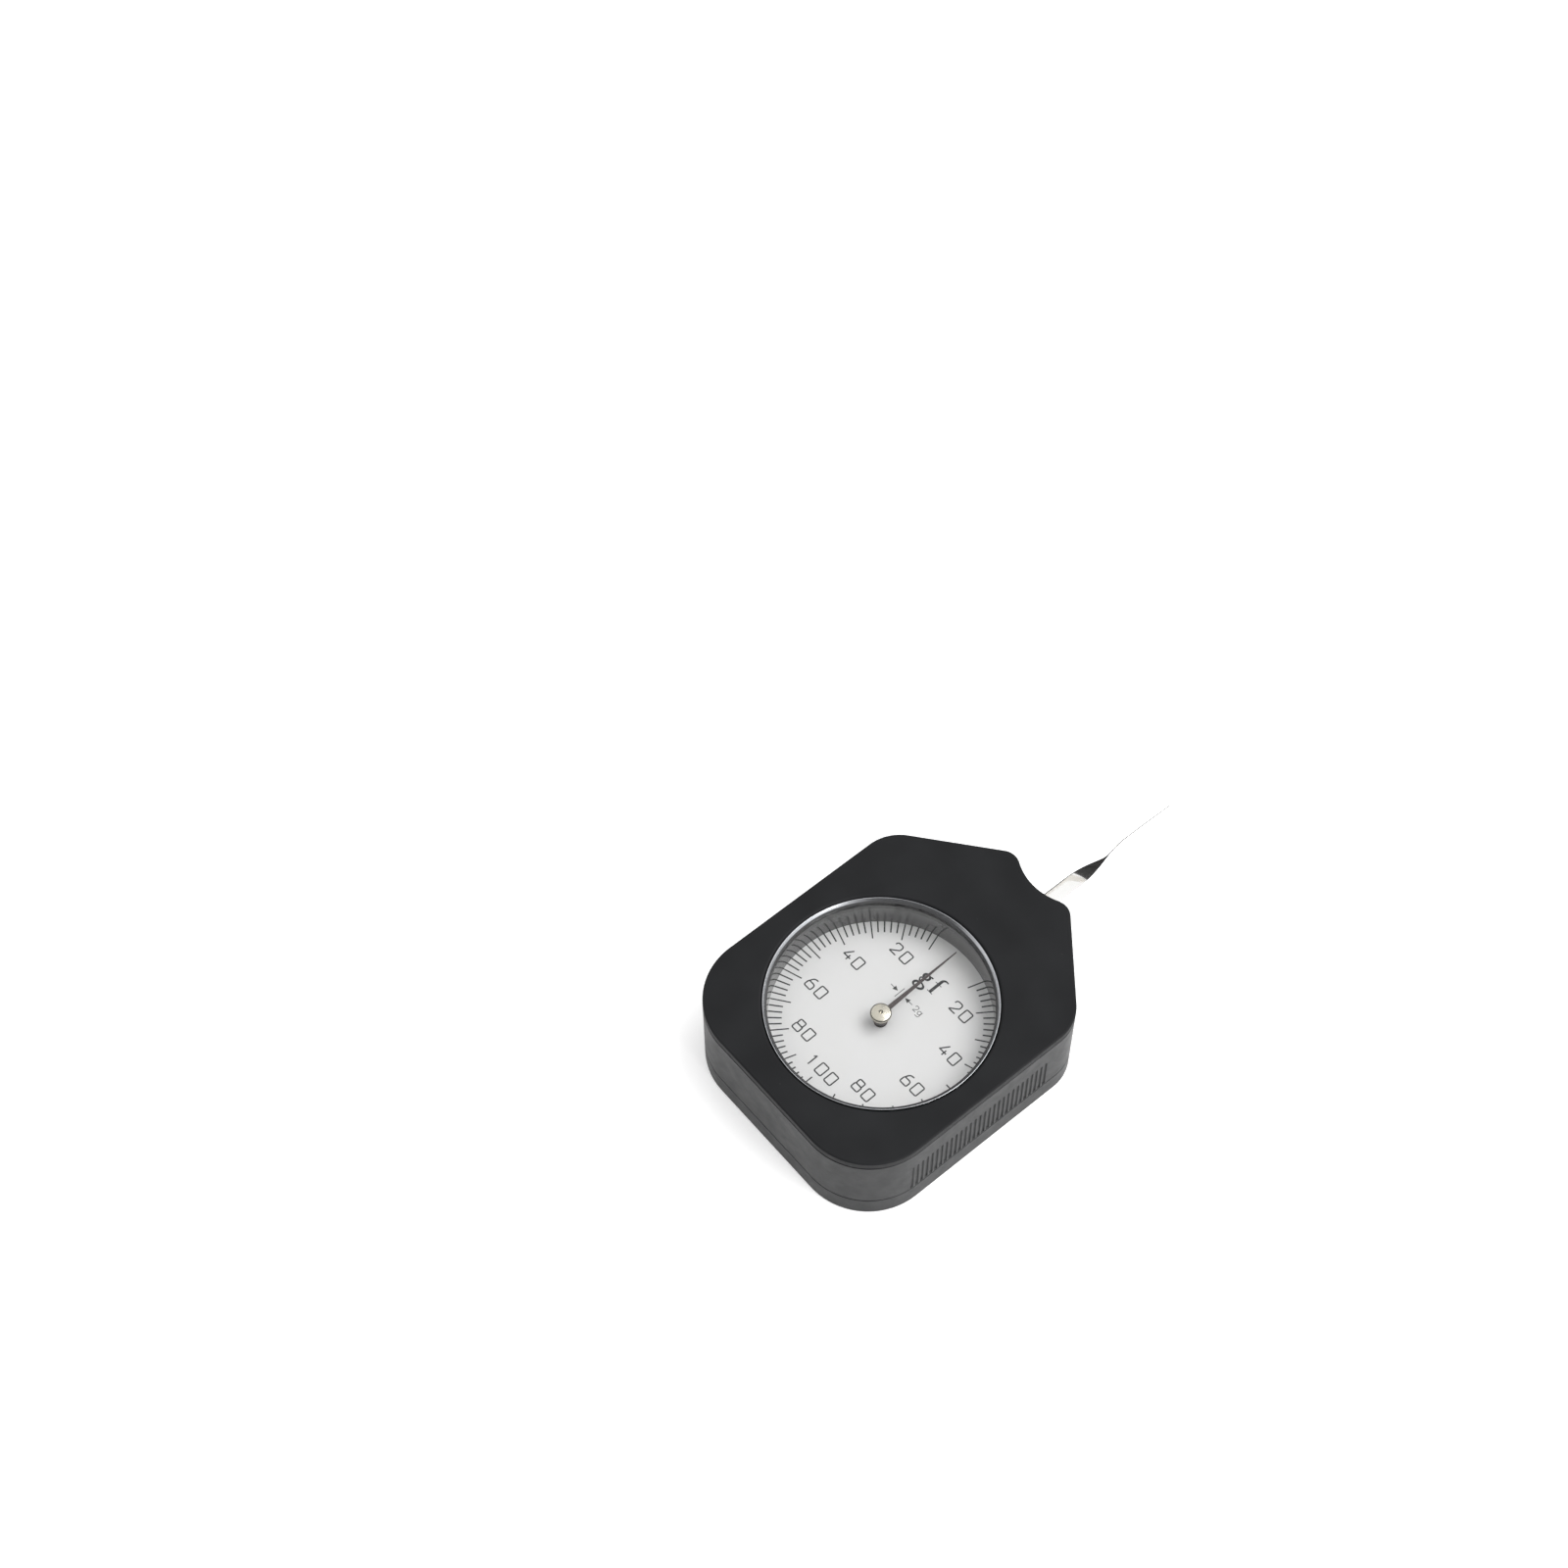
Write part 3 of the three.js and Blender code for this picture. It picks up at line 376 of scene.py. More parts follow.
class Shader:
    """The nodes of one material, with short calls for what the finishes share."""

    # Sockets of a node that mixes two colours
    MIX_SHARE, MIX_FIRST, MIX_SECOND, MIX_RESULT = 0, 6, 7, 2

    def __init__(self, name: str) -> None:
        """Start a material whose surface is one principled shader.

        Args:
            name: Name of the material.
        """
        self.material = bpy.data.materials.new(name)
        self.material.use_nodes = True
        self.nodes = self.material.node_tree.nodes
        self.surface = next(n for n in self.nodes if n.type == "BSDF_PRINCIPLED")
        self.place = self.add("TexCoord").outputs["Object"]

    def add(self, kind: str, inputs: dict | None = None, **settings: object) -> bpy.types.Node:
        """Add a node.

        Args:
            kind: The node's type without its ShaderNode prefix.
            inputs: Values or sockets for its inputs, by name or number.
            **settings: Properties of the node itself.

        Returns:
            The node.
        """
        node = self.nodes.new("ShaderNode" + kind)
        for key, value in settings.items():
            setattr(node, key, value)
        for key, value in (inputs or {}).items():
            self.feed(node.inputs[key], value)
        return node

    def feed(self, socket: bpy.types.NodeSocket, value: object) -> None:
        """Link a socket to another, or set its own value.

        Args:
            socket: The input.
            value: A socket to link, or a value to set.
        """
        if isinstance(value, bpy.types.NodeSocket):
            self.material.node_tree.links.new(value, socket)
        else:
            socket.default_value = value

    def set(self, **values: object) -> None:
        """Set or link inputs of the surface. An underscore in a name stands for a space."""
        for key, value in values.items():
            self.feed(self.surface.inputs[key.replace("_", " ")], value)

    def noise(
        self,
        grain: float,
        detail: float = 3.0,
        direction: Direction = Direction.ALL,
        place: bpy.types.NodeSocket | None = None,
    ) -> bpy.types.NodeSocket:
        """Make noise whose features are about as large as a grain.

        Args:
            grain: Size of the features.
            detail: How many finer layers are laid over them.
            direction: The way in which they are stretched.
            place: The place that the noise is read at, if not the object's own.

        Returns:
            The noise.
        """
        scale = tuple(share / grain for share in direction.value)
        scaled = self.add("Mapping", {"Vector": place or self.place, "Scale": scale}).outputs[0]
        return self.add("TexNoise", {"Vector": scaled, "Scale": 1.0, "Detail": detail}).outputs["Fac"]

    def mapped(self, value: bpy.types.NodeSocket, source: Point, target: Point) -> bpy.types.NodeSocket:
        """Map one range of values to another.

        Args:
            value: The value.
            source: The two ends of its range.
            target: What these ends become.

        Returns:
            The mapped value.
        """
        return self.add("MapRange", {
            "Value": value, "From Min": source[0], "From Max": source[1],
            "To Min": target[0], "To Max": target[1],
        }).outputs["Result"]

    def spread(self, value: bpy.types.NodeSocket, low: float = 0, high: float = 1) -> bpy.types.NodeSocket:
        """Spread noise about its middle over a range of values."""
        return self.mapped(value, (NOISE_MIDDLE - NOISE_REACH, NOISE_MIDDLE + NOISE_REACH), (low, high))

    def mixed(
        self, share: bpy.types.NodeSocket, first: tuple | bpy.types.NodeSocket, second: tuple,
    ) -> bpy.types.NodeSocket:
        """Mix two colours by a share from 0 to 1.

        Args:
            share: Share of the second colour.
            first: The first colour, or a socket that gives it.
            second: The second colour.

        Returns:
            The mixed colour.
        """
        is_linked = isinstance(first, bpy.types.NodeSocket)
        return self.add("Mix", {
            self.MIX_SHARE: share,
            self.MIX_FIRST: first if is_linked else (*first, 1),
            self.MIX_SECOND: (*second, 1),
        }, data_type="RGBA").outputs[self.MIX_RESULT]

    def bump(self, height: bpy.types.NodeSocket, depth: float) -> bpy.types.NodeSocket:
        """Turn a height from 0 to 1 into a normal."""
        return self.add("Bump", {"Height": height, "Distance": depth, "Strength": 1.0}).outputs["Normal"]

    def radius(self, centre: Point) -> bpy.types.NodeSocket:
        """Place along a radius from a vertical axis, for marks left by turning.

        Args:
            centre: Where the axis stands.

        Returns:
            The place, with the radius as its first part.
        """
        moved = self.add("VectorMath", {0: self.place, 1: (-centre[0], -centre[1], 0)}, operation="ADD")
        level = self.add("VectorMath", {0: moved.outputs[0], 1: (1, 1, 0)}, operation="MULTIPLY")
        length = self.add("VectorMath", {0: level.outputs[0]}, operation="LENGTH").outputs["Value"]
        return self.add("CombineXYZ", {"X": length}).outputs[0]


@dataclass(frozen=True)
class Finish:
    """A finish with its name and the name of its slot."""

    name: str
    slot: str

    def make(self) -> bpy.types.Material:
        """Make the material."""
        raise NotImplementedError

    def dress(self, obj: bpy.types.Object) -> None:
        """Give a piece this finish.

        Args:
            obj: The piece.
        """
        material = bpy.data.materials.get(self.name) or self.make()
        obj.data.materials.clear()
        obj.data.materials.append(material)


@dataclass(frozen=True)
class MouldedPlastic(Finish):
    """Black moulded plastic with a fine spark-eroded texture, faint flow and a little dust."""

    colour: tuple = (0.0075, 0.0078, 0.0085)
    worn: tuple = (0.0125, 0.013, 0.014)
    dust: tuple = (0.06, 0.06, 0.059)
    gloss: float = 0.205
    texture: float = 0.11 * MM
    flow: float = 9 * MM
    patch: float = 2.25 * MM
    speck: float = 0.5 * MM
    speck_edge: Point = (0.80, 0.84)
    speck_share: float = 0.6
    depth: float = 0.006 * MM
    roughness: Point = (0.40, 0.50)

    def make(self) -> bpy.types.Material:
        """Make the material.

        Returns:
            The material.
        """
        shader = Shader(self.name)
        flow = shader.spread(shader.noise(self.flow, detail=2))
        colour = shader.mixed(flow, self.colour, self.worn)
        specks = shader.mapped(shader.noise(self.speck, detail=1), self.speck_edge, (0, self.speck_share))
        skin = shader.noise(self.texture, detail=2)
        rough = shader.spread(shader.noise(self.patch, detail=4), *self.roughness)
        shader.set(
            Base_Color=shader.mixed(specks, colour, self.dust),
            Roughness=rough,
            Specular_IOR_Level=self.gloss,
            Normal=shader.bump(skin, self.depth),
        )
        return shader.material


@dataclass(frozen=True)
class WorkedMetal(Finish):
    """Bare or plated metal with the fine marks of its working and faint stains."""

    colour: tuple = (0.6, 0.6, 0.6)
    stained: tuple = (0.5, 0.5, 0.5)
    roughness: Point = (0.12, 0.22)
    marks: float = 0.05 * MM
    depth: float = 0.001 * MM
    stain: float = 3 * MM
    direction: Direction = Direction.ALL
    turned_about: Point | None = None

    def make(self) -> bpy.types.Material:
        """Make the material.

        Returns:
            The material.
        """
        shader = Shader(self.name)
        place = shader.radius(self.turned_about) if self.turned_about is not None else None
        marks = shader.noise(self.marks, direction=self.direction, place=place)
        stains = shader.noise(self.stain, detail=4)
        shader.set(
            Base_Color=shader.mixed(shader.spread(stains), self.colour, self.stained),
            Metallic=1.0,
            Roughness=shader.spread(marks, *self.roughness),
            Normal=shader.bump(marks, self.depth),
        )
        return shader.material


@dataclass(frozen=True)
class Enamel(Finish):
    """Matt enamel with a powdery grain and the faintest yellowing."""

    colour: tuple = (0.662, 0.662, 0.662)
    aged: tuple = (0.645, 0.644, 0.638)
    grain: float = 0.07 * MM
    depth: float = 0.003 * MM
    patch: float = 7 * MM
    gloss: float = 0.3
    roughness: Point = (0.50, 0.62)

    def make(self) -> bpy.types.Material:
        """Make the material.

        Returns:
            The material.
        """
        shader = Shader(self.name)
        grain = shader.noise(self.grain, detail=2)
        patches = shader.spread(shader.noise(self.patch))
        shader.set(
            Base_Color=shader.mixed(patches, self.colour, self.aged),
            Roughness=shader.spread(grain, *self.roughness),
            Specular_IOR_Level=self.gloss,
            Normal=shader.bump(grain, self.depth),
        )
        return shader.material


@dataclass(frozen=True)
class Lacquer(Finish):
    """A thin coloured coat, such as printing ink, needle lacquer or rubber."""

    colour: tuple = (0.02, 0.02, 0.02)
    faded: tuple = (0.04, 0.04, 0.04)
    grain: float = 0.12 * MM
    depth: float = 0.002 * MM
    roughness: Point = (0.4, 0.6)
    gloss: float = 0.5

    def make(self) -> bpy.types.Material:
        """Make the material.

        Returns:
            The material.
        """
        shader = Shader(self.name)
        grain = shader.noise(self.grain)
        shader.set(
            Base_Color=shader.mixed(shader.spread(grain), self.colour, self.faded),
            Specular_IOR_Level=self.gloss,
            Roughness=shader.spread(grain, *self.roughness),
            Normal=shader.bump(grain, self.depth),
        )
        return shader.material


@dataclass(frozen=True)
class ClearPane(Finish):
    """A clear flat pane: almost nothing of it shows but what it mirrors, more so at a slant."""

    colour: tuple = (0.97, 0.98, 0.98)
    index: float = 1.29
    roughness: Point = (0.015, 0.04)
    smear: float = 6 * MM

    def make(self) -> bpy.types.Material:
        """Make the material.

        Returns:
            The material.
        """
        shader = Shader(self.name)
        smear = shader.noise(self.smear)
        shader.set(
            Base_Color=(*self.colour, 1),
            Metallic=1.0,
            Roughness=shader.spread(smear, *self.roughness),
            Alpha=shader.add("Fresnel", {"IOR": self.index}).outputs[0],
        )
        return shader.material


@dataclass(frozen=True)
class Palette:
    """Every finish of the gauge."""

    plastic: Finish = MouldedPlastic("moulded_black_plastic", "case_plastic")
    cover: Finish = MouldedPlastic(
        "matt_black_cover", "case_plastic", colour=(0.006, 0.0063, 0.007), worn=(0.0105, 0.011, 0.012),
        gloss=0.12, roughness=(0.5, 0.6), depth=0.008 * MM,
    )
    bezel: Finish = WorkedMetal(
        "turned_bezel", "bezel_metal", colour=(0.53, 0.54, 0.56), stained=(0.44, 0.45, 0.47),
        roughness=(0.14, 0.24), turned_about=(0.0, 0.0),
    )
    pane: Finish = ClearPane("clear_pane", "clear_crystal")
    gasket: Finish = Lacquer(
        "black_gasket", "gasket_rubber", colour=(0.012, 0.012, 0.013), faded=(0.03, 0.03, 0.032),
        roughness=(0.6, 0.8),
    )
    wall: Finish = Lacquer(
        "glossy_well_wall", "well_wall", colour=(0.045, 0.045, 0.046), faded=(0.06, 0.06, 0.061),
        grain=2.5 * MM, depth=0.0001 * MM, roughness=(0.06, 0.09), gloss=0.9,
    )
    dial: Finish = Enamel("white_enamel", "dial_paint")
    ink: Finish = Lacquer(
        "printing_ink", "dial_paint", colour=(0.014, 0.015, 0.016), faded=(0.035, 0.035, 0.036), gloss=0.2,
    )
    fine_ink: Finish = Lacquer(
        "thin_printing_ink", "dial_paint", colour=(0.03, 0.03, 0.031), faded=(0.07, 0.07, 0.07), gloss=0.2,
    )
    needle: Finish = Lacquer(
        "needle_lacquer", "pointer_dark", colour=(0.022, 0.014, 0.014), faded=(0.042, 0.026, 0.025),
        roughness=(0.32, 0.45),
    )
    hub: Finish = WorkedMetal(
        "warm_nickel", "hub_nickel", colour=(0.54, 0.515, 0.445), stained=(0.46, 0.435, 0.36),
        roughness=(0.16, 0.26), turned_about=(0.0, 0.0), marks=0.03 * MM,
    )
    feeler: Finish = WorkedMetal(
        "polished_strip", "feeler_steel", colour=(0.88, 0.88, 0.87), stained=(0.8, 0.795, 0.78),
        roughness=(0.05, 0.12), direction=Direction.ALONG_Y, stain=5 * MM,
    )
    screw: Finish = WorkedMetal(
        "plated_screw", "screw_steel", colour=(0.34, 0.34, 0.35), stained=(0.24, 0.24, 0.25),
        roughness=(0.28, 0.42), stain=0.7 * MM,
    )
    arbor: Finish = WorkedMetal(
        "turned_steel", "movement_steel", colour=(0.56, 0.56, 0.57), stained=(0.44, 0.44, 0.46),
    )
    brass: Finish = WorkedMetal(
        "milled_brass", "movement_brass", colour=(0.72, 0.53, 0.25), stained=(0.58, 0.4, 0.17),
        roughness=(0.2, 0.34), direction=Direction.ALONG_X,
    )
    bush: Finish = WorkedMetal(
        "nickel_silver", "bush_nickel", colour=(0.7, 0.68, 0.62), stained=(0.6, 0.57, 0.5),
    )
    spring: Finish = WorkedMetal(
        "blued_steel", "spring_steel", colour=(0.13, 0.17, 0.28), stained=(0.2, 0.2, 0.26),
        roughness=(0.18, 0.3), stain=1.5 * MM,
    )


def seat(obj: bpy.types.Object, body: Body, finish: Finish, *nodes: str) -> None:
    """Shade and dress a piece, put it on its body and let it stand for nodes of the frame.

    Args:
        obj: The piece, already in place.
        body: The body that it rides on.
        finish: Its finish.
        *nodes: The nodes that it stands for.
    """
    shade(obj)
    finish.dress(obj)
    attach(obj, body.value)
    if nodes:
        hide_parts(*nodes)
    LOG.info("%s: %d faces, rides on %s", obj.name, len(obj.data.polygons), body.value)


@dataclass(frozen=True)
class Station:
    """One place on the case outline. An inset moves it inwards along its normal.

    On an arc, x and y are the arc's centre and the radius is negative where the arc is hollow.
    """

    x: float
    y: float
    normal: Point
    radius: float = 0.0

    def at(self, inset: float) -> Point:
        """Where the station lies on the outline with that inset.

        Args:
            inset: How far inwards.

        Returns:
            The place.
        """
        reach = self.radius - inset
        if self.radius > 0:
            reach = max(reach, SMALLEST_REACH)
        return self.x + self.normal[0] * reach, self.y + self.normal[1] * reach

    def mirrored(self) -> "Station":
        """The same place on the left half."""
        return Station(-self.x, self.y, (-self.normal[0], self.normal[1]), self.radius)


@dataclass(frozen=True)
class CaseOutline:
    """The outline of the case: straight sides, round corners, a sloping neck and a hollow notch."""

    half_width: float
    bottom_reach: float
    shoulder_height: float = 22.82 * MM
    neck_half_width: float = 6.8 * MM
    notch_floor: float = 35.36 * MM
    notch_radius: float = 11.09 * MM
    corner_radius: float = 12.83 * MM
    shoulder_radius: float = 8.24 * MM
    neck_radius: float = 3.15 * MM

    @property
    def notch_centre(self) -> float:
        """Height of the notch's centre."""
        return self.notch_floor + self.notch_radius

    @property
    def corner_centre(self) -> Point:
        """Centre of the lower right corner."""
        return self.half_width - self.corner_radius, self.corner_radius - self.bottom_reach

    @property
    def slope_turn(self) -> float:
        """Direction in which the right slope faces.

        Returns:
            The angle from the X axis.
        """
        drop = math.sqrt(self.notch_radius ** 2 - self.neck_half_width ** 2)
        rise = self.notch_centre - drop - self.shoulder_height
        return math.atan2(self.half_width - self.neck_half_width, rise)

    @property
    def shoulder_centre(self) -> Point:
        """Centre of the right shoulder."""
        drop = self.shoulder_radius * math.tan(self.slope_turn / 2)
        return self.half_width - self.shoulder_radius, self.shoulder_height - drop

    @property
    def neck_centre(self) -> Point:
        """Centre of the round between slope and notch, which touches both.

        Returns:
            The centre on the right half.
        """
        out = Vector((math.cos(self.slope_turn), math.sin(self.slope_turn)))
        ahead = Vector((-out.y, out.x))
        start = Vector((self.half_width, self.shoulder_height)) - out * self.neck_radius
        offset = start - Vector((0, self.notch_centre))
        along = offset.dot(ahead)
        beyond = offset.length_squared - (self.notch_radius + self.neck_radius) ** 2
        return tuple(start + ahead * (-along - math.sqrt(along ** 2 - beyond)))

    def side_station(self, height: float) -> Station:
        """The place at some height on the right side or on the corner below it.

        Args:
            height: The height.

        Returns:
            The station.
        """
        x, y = self.corner_centre
        if height >= y:
            return Station(self.half_width, height, (1.0, 0.0))
        angle = math.asin((height - y) / self.corner_radius)
        return Station(x, y, (math.cos(angle), math.sin(angle)), self.corner_radius)

    def stations(self, side_heights: Sequence[float] = ()) -> list[Station]:
        """Go round the outline anticlockwise from the middle of its bottom.

        Args:
            side_heights: Heights on the sides where a station is wanted, in rising order.

        Returns:
            The stations of the whole outline.
        """
        corner_x, corner_y = self.corner_centre
        neck = self.neck_centre
        turn = self.slope_turn
        into_notch = math.atan2(self.notch_centre - neck[1], -neck[0])
        right = straight_stations((0, -self.bottom_reach), (corner_x, -self.bottom_reach))
        corner_end = 0.0
        if side_heights:
            corner_end = math.asin(min((side_heights[0] - corner_y) / self.corner_radius, 0)) - ARC_STEP
        right += arc_stations((corner_x, corner_y), self.corner_radius, -math.pi / 2, corner_end)
        right += [self.side_station(height) for height in side_heights]
        side_start = side_heights[-1] + STRAIGHT_STEP if side_heights else corner_y + STRAIGHT_STEP
        right += straight_stations(
            (self.half_width, side_start), (self.half_width, self.shoulder_centre[1] - STRAIGHT_STEP),
        )
        right += arc_stations(self.shoulder_centre, self.shoulder_radius, 0, turn)
        slope = [station.at(0) for station in (
            right[-1], *arc_stations(neck, self.neck_radius, turn, turn + ARC_STEP)[:1],
        )]
        right += straight_stations(*slope)[1:-1]
        right += arc_stations(neck, self.neck_radius, turn, into_notch)
        notch = arc_stations(
            (0, self.notch_centre), -self.notch_radius, into_notch, math.pi / 2,
        )
        right += notch[1:]
        return right + [station.mirrored() for station in reversed(right[1:-1])]


def arc_stations(centre: Point, radius: float, start: float, finish: float) -> list[Station]:
    """Stations along an arc, by the direction of its outward normal.

    Args:
        centre: Centre of the arc.
        radius: Its radius, negative where the arc is hollow.
        start: Direction of the first normal.
        finish: Direction of the last normal.

    Returns:
        The stations, with both ends.
    """
    count = max(2, math.ceil(abs(finish - start) / ARC_STEP))
    angles = [start + (finish - start) * i / count for i in range(count + 1)]
    return [Station(*centre, (math.cos(a), math.sin(a)), radius) for a in angles]


def straight_stations(start: Point, finish: Point) -> list[Station]:
    """Stations along a straight stretch, whose outward side lies to its right.

    Args:
        start: The first place.
        finish: The last place.

    Returns:
        The stations, with both ends.
    """
    begin, end = Vector(start), Vector(finish)
    ahead = (end - begin).normalized()
    count = max(1, math.ceil((end - begin).length / STRAIGHT_STEP))
    places = [begin.lerp(end, i / count) for i in range(count + 1)]
    return [Station(place.x, place.y, (ahead.y, -ahead.x)) for place in places]


@dataclass
class Shell:
    """What the three shells of the case share: the outline, its stations and the screw columns."""

    outline: CaseOutline
    column_radius: float = 2.8 * MM
    column_bite: float = 0.5 * MM
    wall: float = 2.0 * MM
    bore_radius: float = 1.25 * MM
    edge_break: float = 0.12 * MM
    overrun: float = 1.0 * MM
    stations: list[Station] = field(default_factory=list)

    def __post_init__(self) -> None:
        """Take the outline's plain stations unless others are given."""
        self.stations = self.stations or self.outline.stations()

    def ring(self, inset: float, height: float) -> Ring:
        """The outline with an inset, at a height."""
        return [Vector((*station.at(inset), height)) for station in self.stations]

    def round_ring(self, radius: float, height: float) -> Ring:
        """A circle whose points lie in the directions of the outline's stations."""
        angles = [math.atan2(y, x) for x, y in (station.at(0) for station in self.stations)]
        return [Vector((radius * math.cos(a), radius * math.sin(a), height)) for a in angles]

    def columns(self) -> list[Point]:
        """Axes of the four screw columns, in the corners and the shoulders.

        Returns:
            The axes, two by two from right to left.
        """
        spots = (
            (self.outline.corner_centre, self.outline.corner_radius, -math.pi / 4),
            (self.outline.shoulder_centre, self.outline.shoulder_radius, self.outline.slope_turn / 2),
        )
        places: list[Point] = []
        for (x, y), radius, angle in spots:
            reach = radius - self.wall - self.column_radius + self.column_bite
            across, up = x + reach * math.cos(angle), y + reach * math.sin(angle)
            places += [(across, up), (-across, up)]
        return places

    def pegs(self, places: Iterable[Point], radius: float, bottom: float, top: float) -> Draft:
        """Upright cylinders at several places.

        Args:
            places: Where their axes stand.
            radius: Their radius.
            bottom: Height of their feet.
            top: Height of their heads.

        Returns:
            The draft that holds them.
        """
        draft = Draft()
        for place in places:
            draft.plug(radius, (bottom, top), place)
        return draft


@dataclass
class FrontCover(Shell):
    """The plate with the round opening, its rounded rim, the skirt round the dial and the lip."""

    opening_radius: float = 20.6 * MM
    opening_edge: float = 0.5 * MM
    rim_round: float = 0.3 * MM
    skin: float = 1.0 * MM
    skirt: float = 1.8 * MM
    step_depth: float = 0.6 * MM
    lip_depth: float = 2.0 * MM
    lip_inset: float = 2.25 * MM
    lip_width: float = 1.0 * MM
    hold: float = 0.08 * MM
    round_steps: int = 8

    def build(self) -> bpy.types.Object:
        """Build the cover between its heights in the frame.

        Returns:
            The cover.
        """
        low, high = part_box("front_cover")
        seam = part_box("mid_case")[1].z
        top, skirt_bottom = high.z, low.z
        quarter = [math.pi / 2 * i / self.round_steps for i in range(self.round_steps + 1)]
        rim = [
            self.ring(self.rim_round * (1 - math.cos(a)), top - self.rim_round * (1 - math.sin(a)))
            for a in quarter
        ]
        lip_round = [
            self.round_ring(
                self.opening_radius + self.opening_edge * (1 - math.sin(a)),
                top - self.opening_edge * (1 - math.cos(a)),
            )
            for a in quarter
        ]
        skirt_radius = self.opening_radius + self.skirt
        step_foot = seam - self.step_depth
        draft = Draft()
        draft.skin([
            self.ring(self.edge_break, seam), self.ring(0, seam + self.edge_break),
            self.ring(0, top - self.rim_round - self.hold), *rim,
            self.ring(self.rim_round + self.hold, top),
            self.round_ring(self.opening_radius + self.opening_edge + self.hold, top), *lip_round,
            self.round_ring(self.opening_radius, skirt_bottom),
            self.round_ring(skirt_radius, skirt_bottom), self.round_ring(skirt_radius, step_foot),
            self.ring(self.lip_inset, step_foot), self.ring(self.lip_inset, seam),
        ], cyclic=True)
        cover = draft.piece("front_cover_shell")
        lip_foot = seam - self.lip_depth
        work_in(cover, self.lip(lip_foot, seam), Join.ADD)
        peg_radius = self.column_radius - self.column_bite - (self.lip_inset - self.wall)
        work_in(cover, self.pegs(self.columns(), peg_radius, lip_foot, seam), Join.ADD)
        bores = self.pegs(self.columns(), self.bore_radius, lip_foot - self.overrun, top - self.skin)
        work_in(cover, bores, Join.CUT)
        return cover

    def lip(self, foot: float, head: float) -> Draft:
        """The lip that centres the cover inside the wall of the case.

        Args:
            foot: Height of its free edge.
            head: Height at which it meets the cover.

        Returns:
            The draft that holds it.
        """
        inner = self.lip_inset + self.lip_width
        draft = Draft()
        draft.skin([
            self.ring(inner, foot), self.ring(self.lip_inset, foot),
            self.ring(self.lip_inset, head), self.ring(inner, head),
        ], cyclic=True)
        return draft


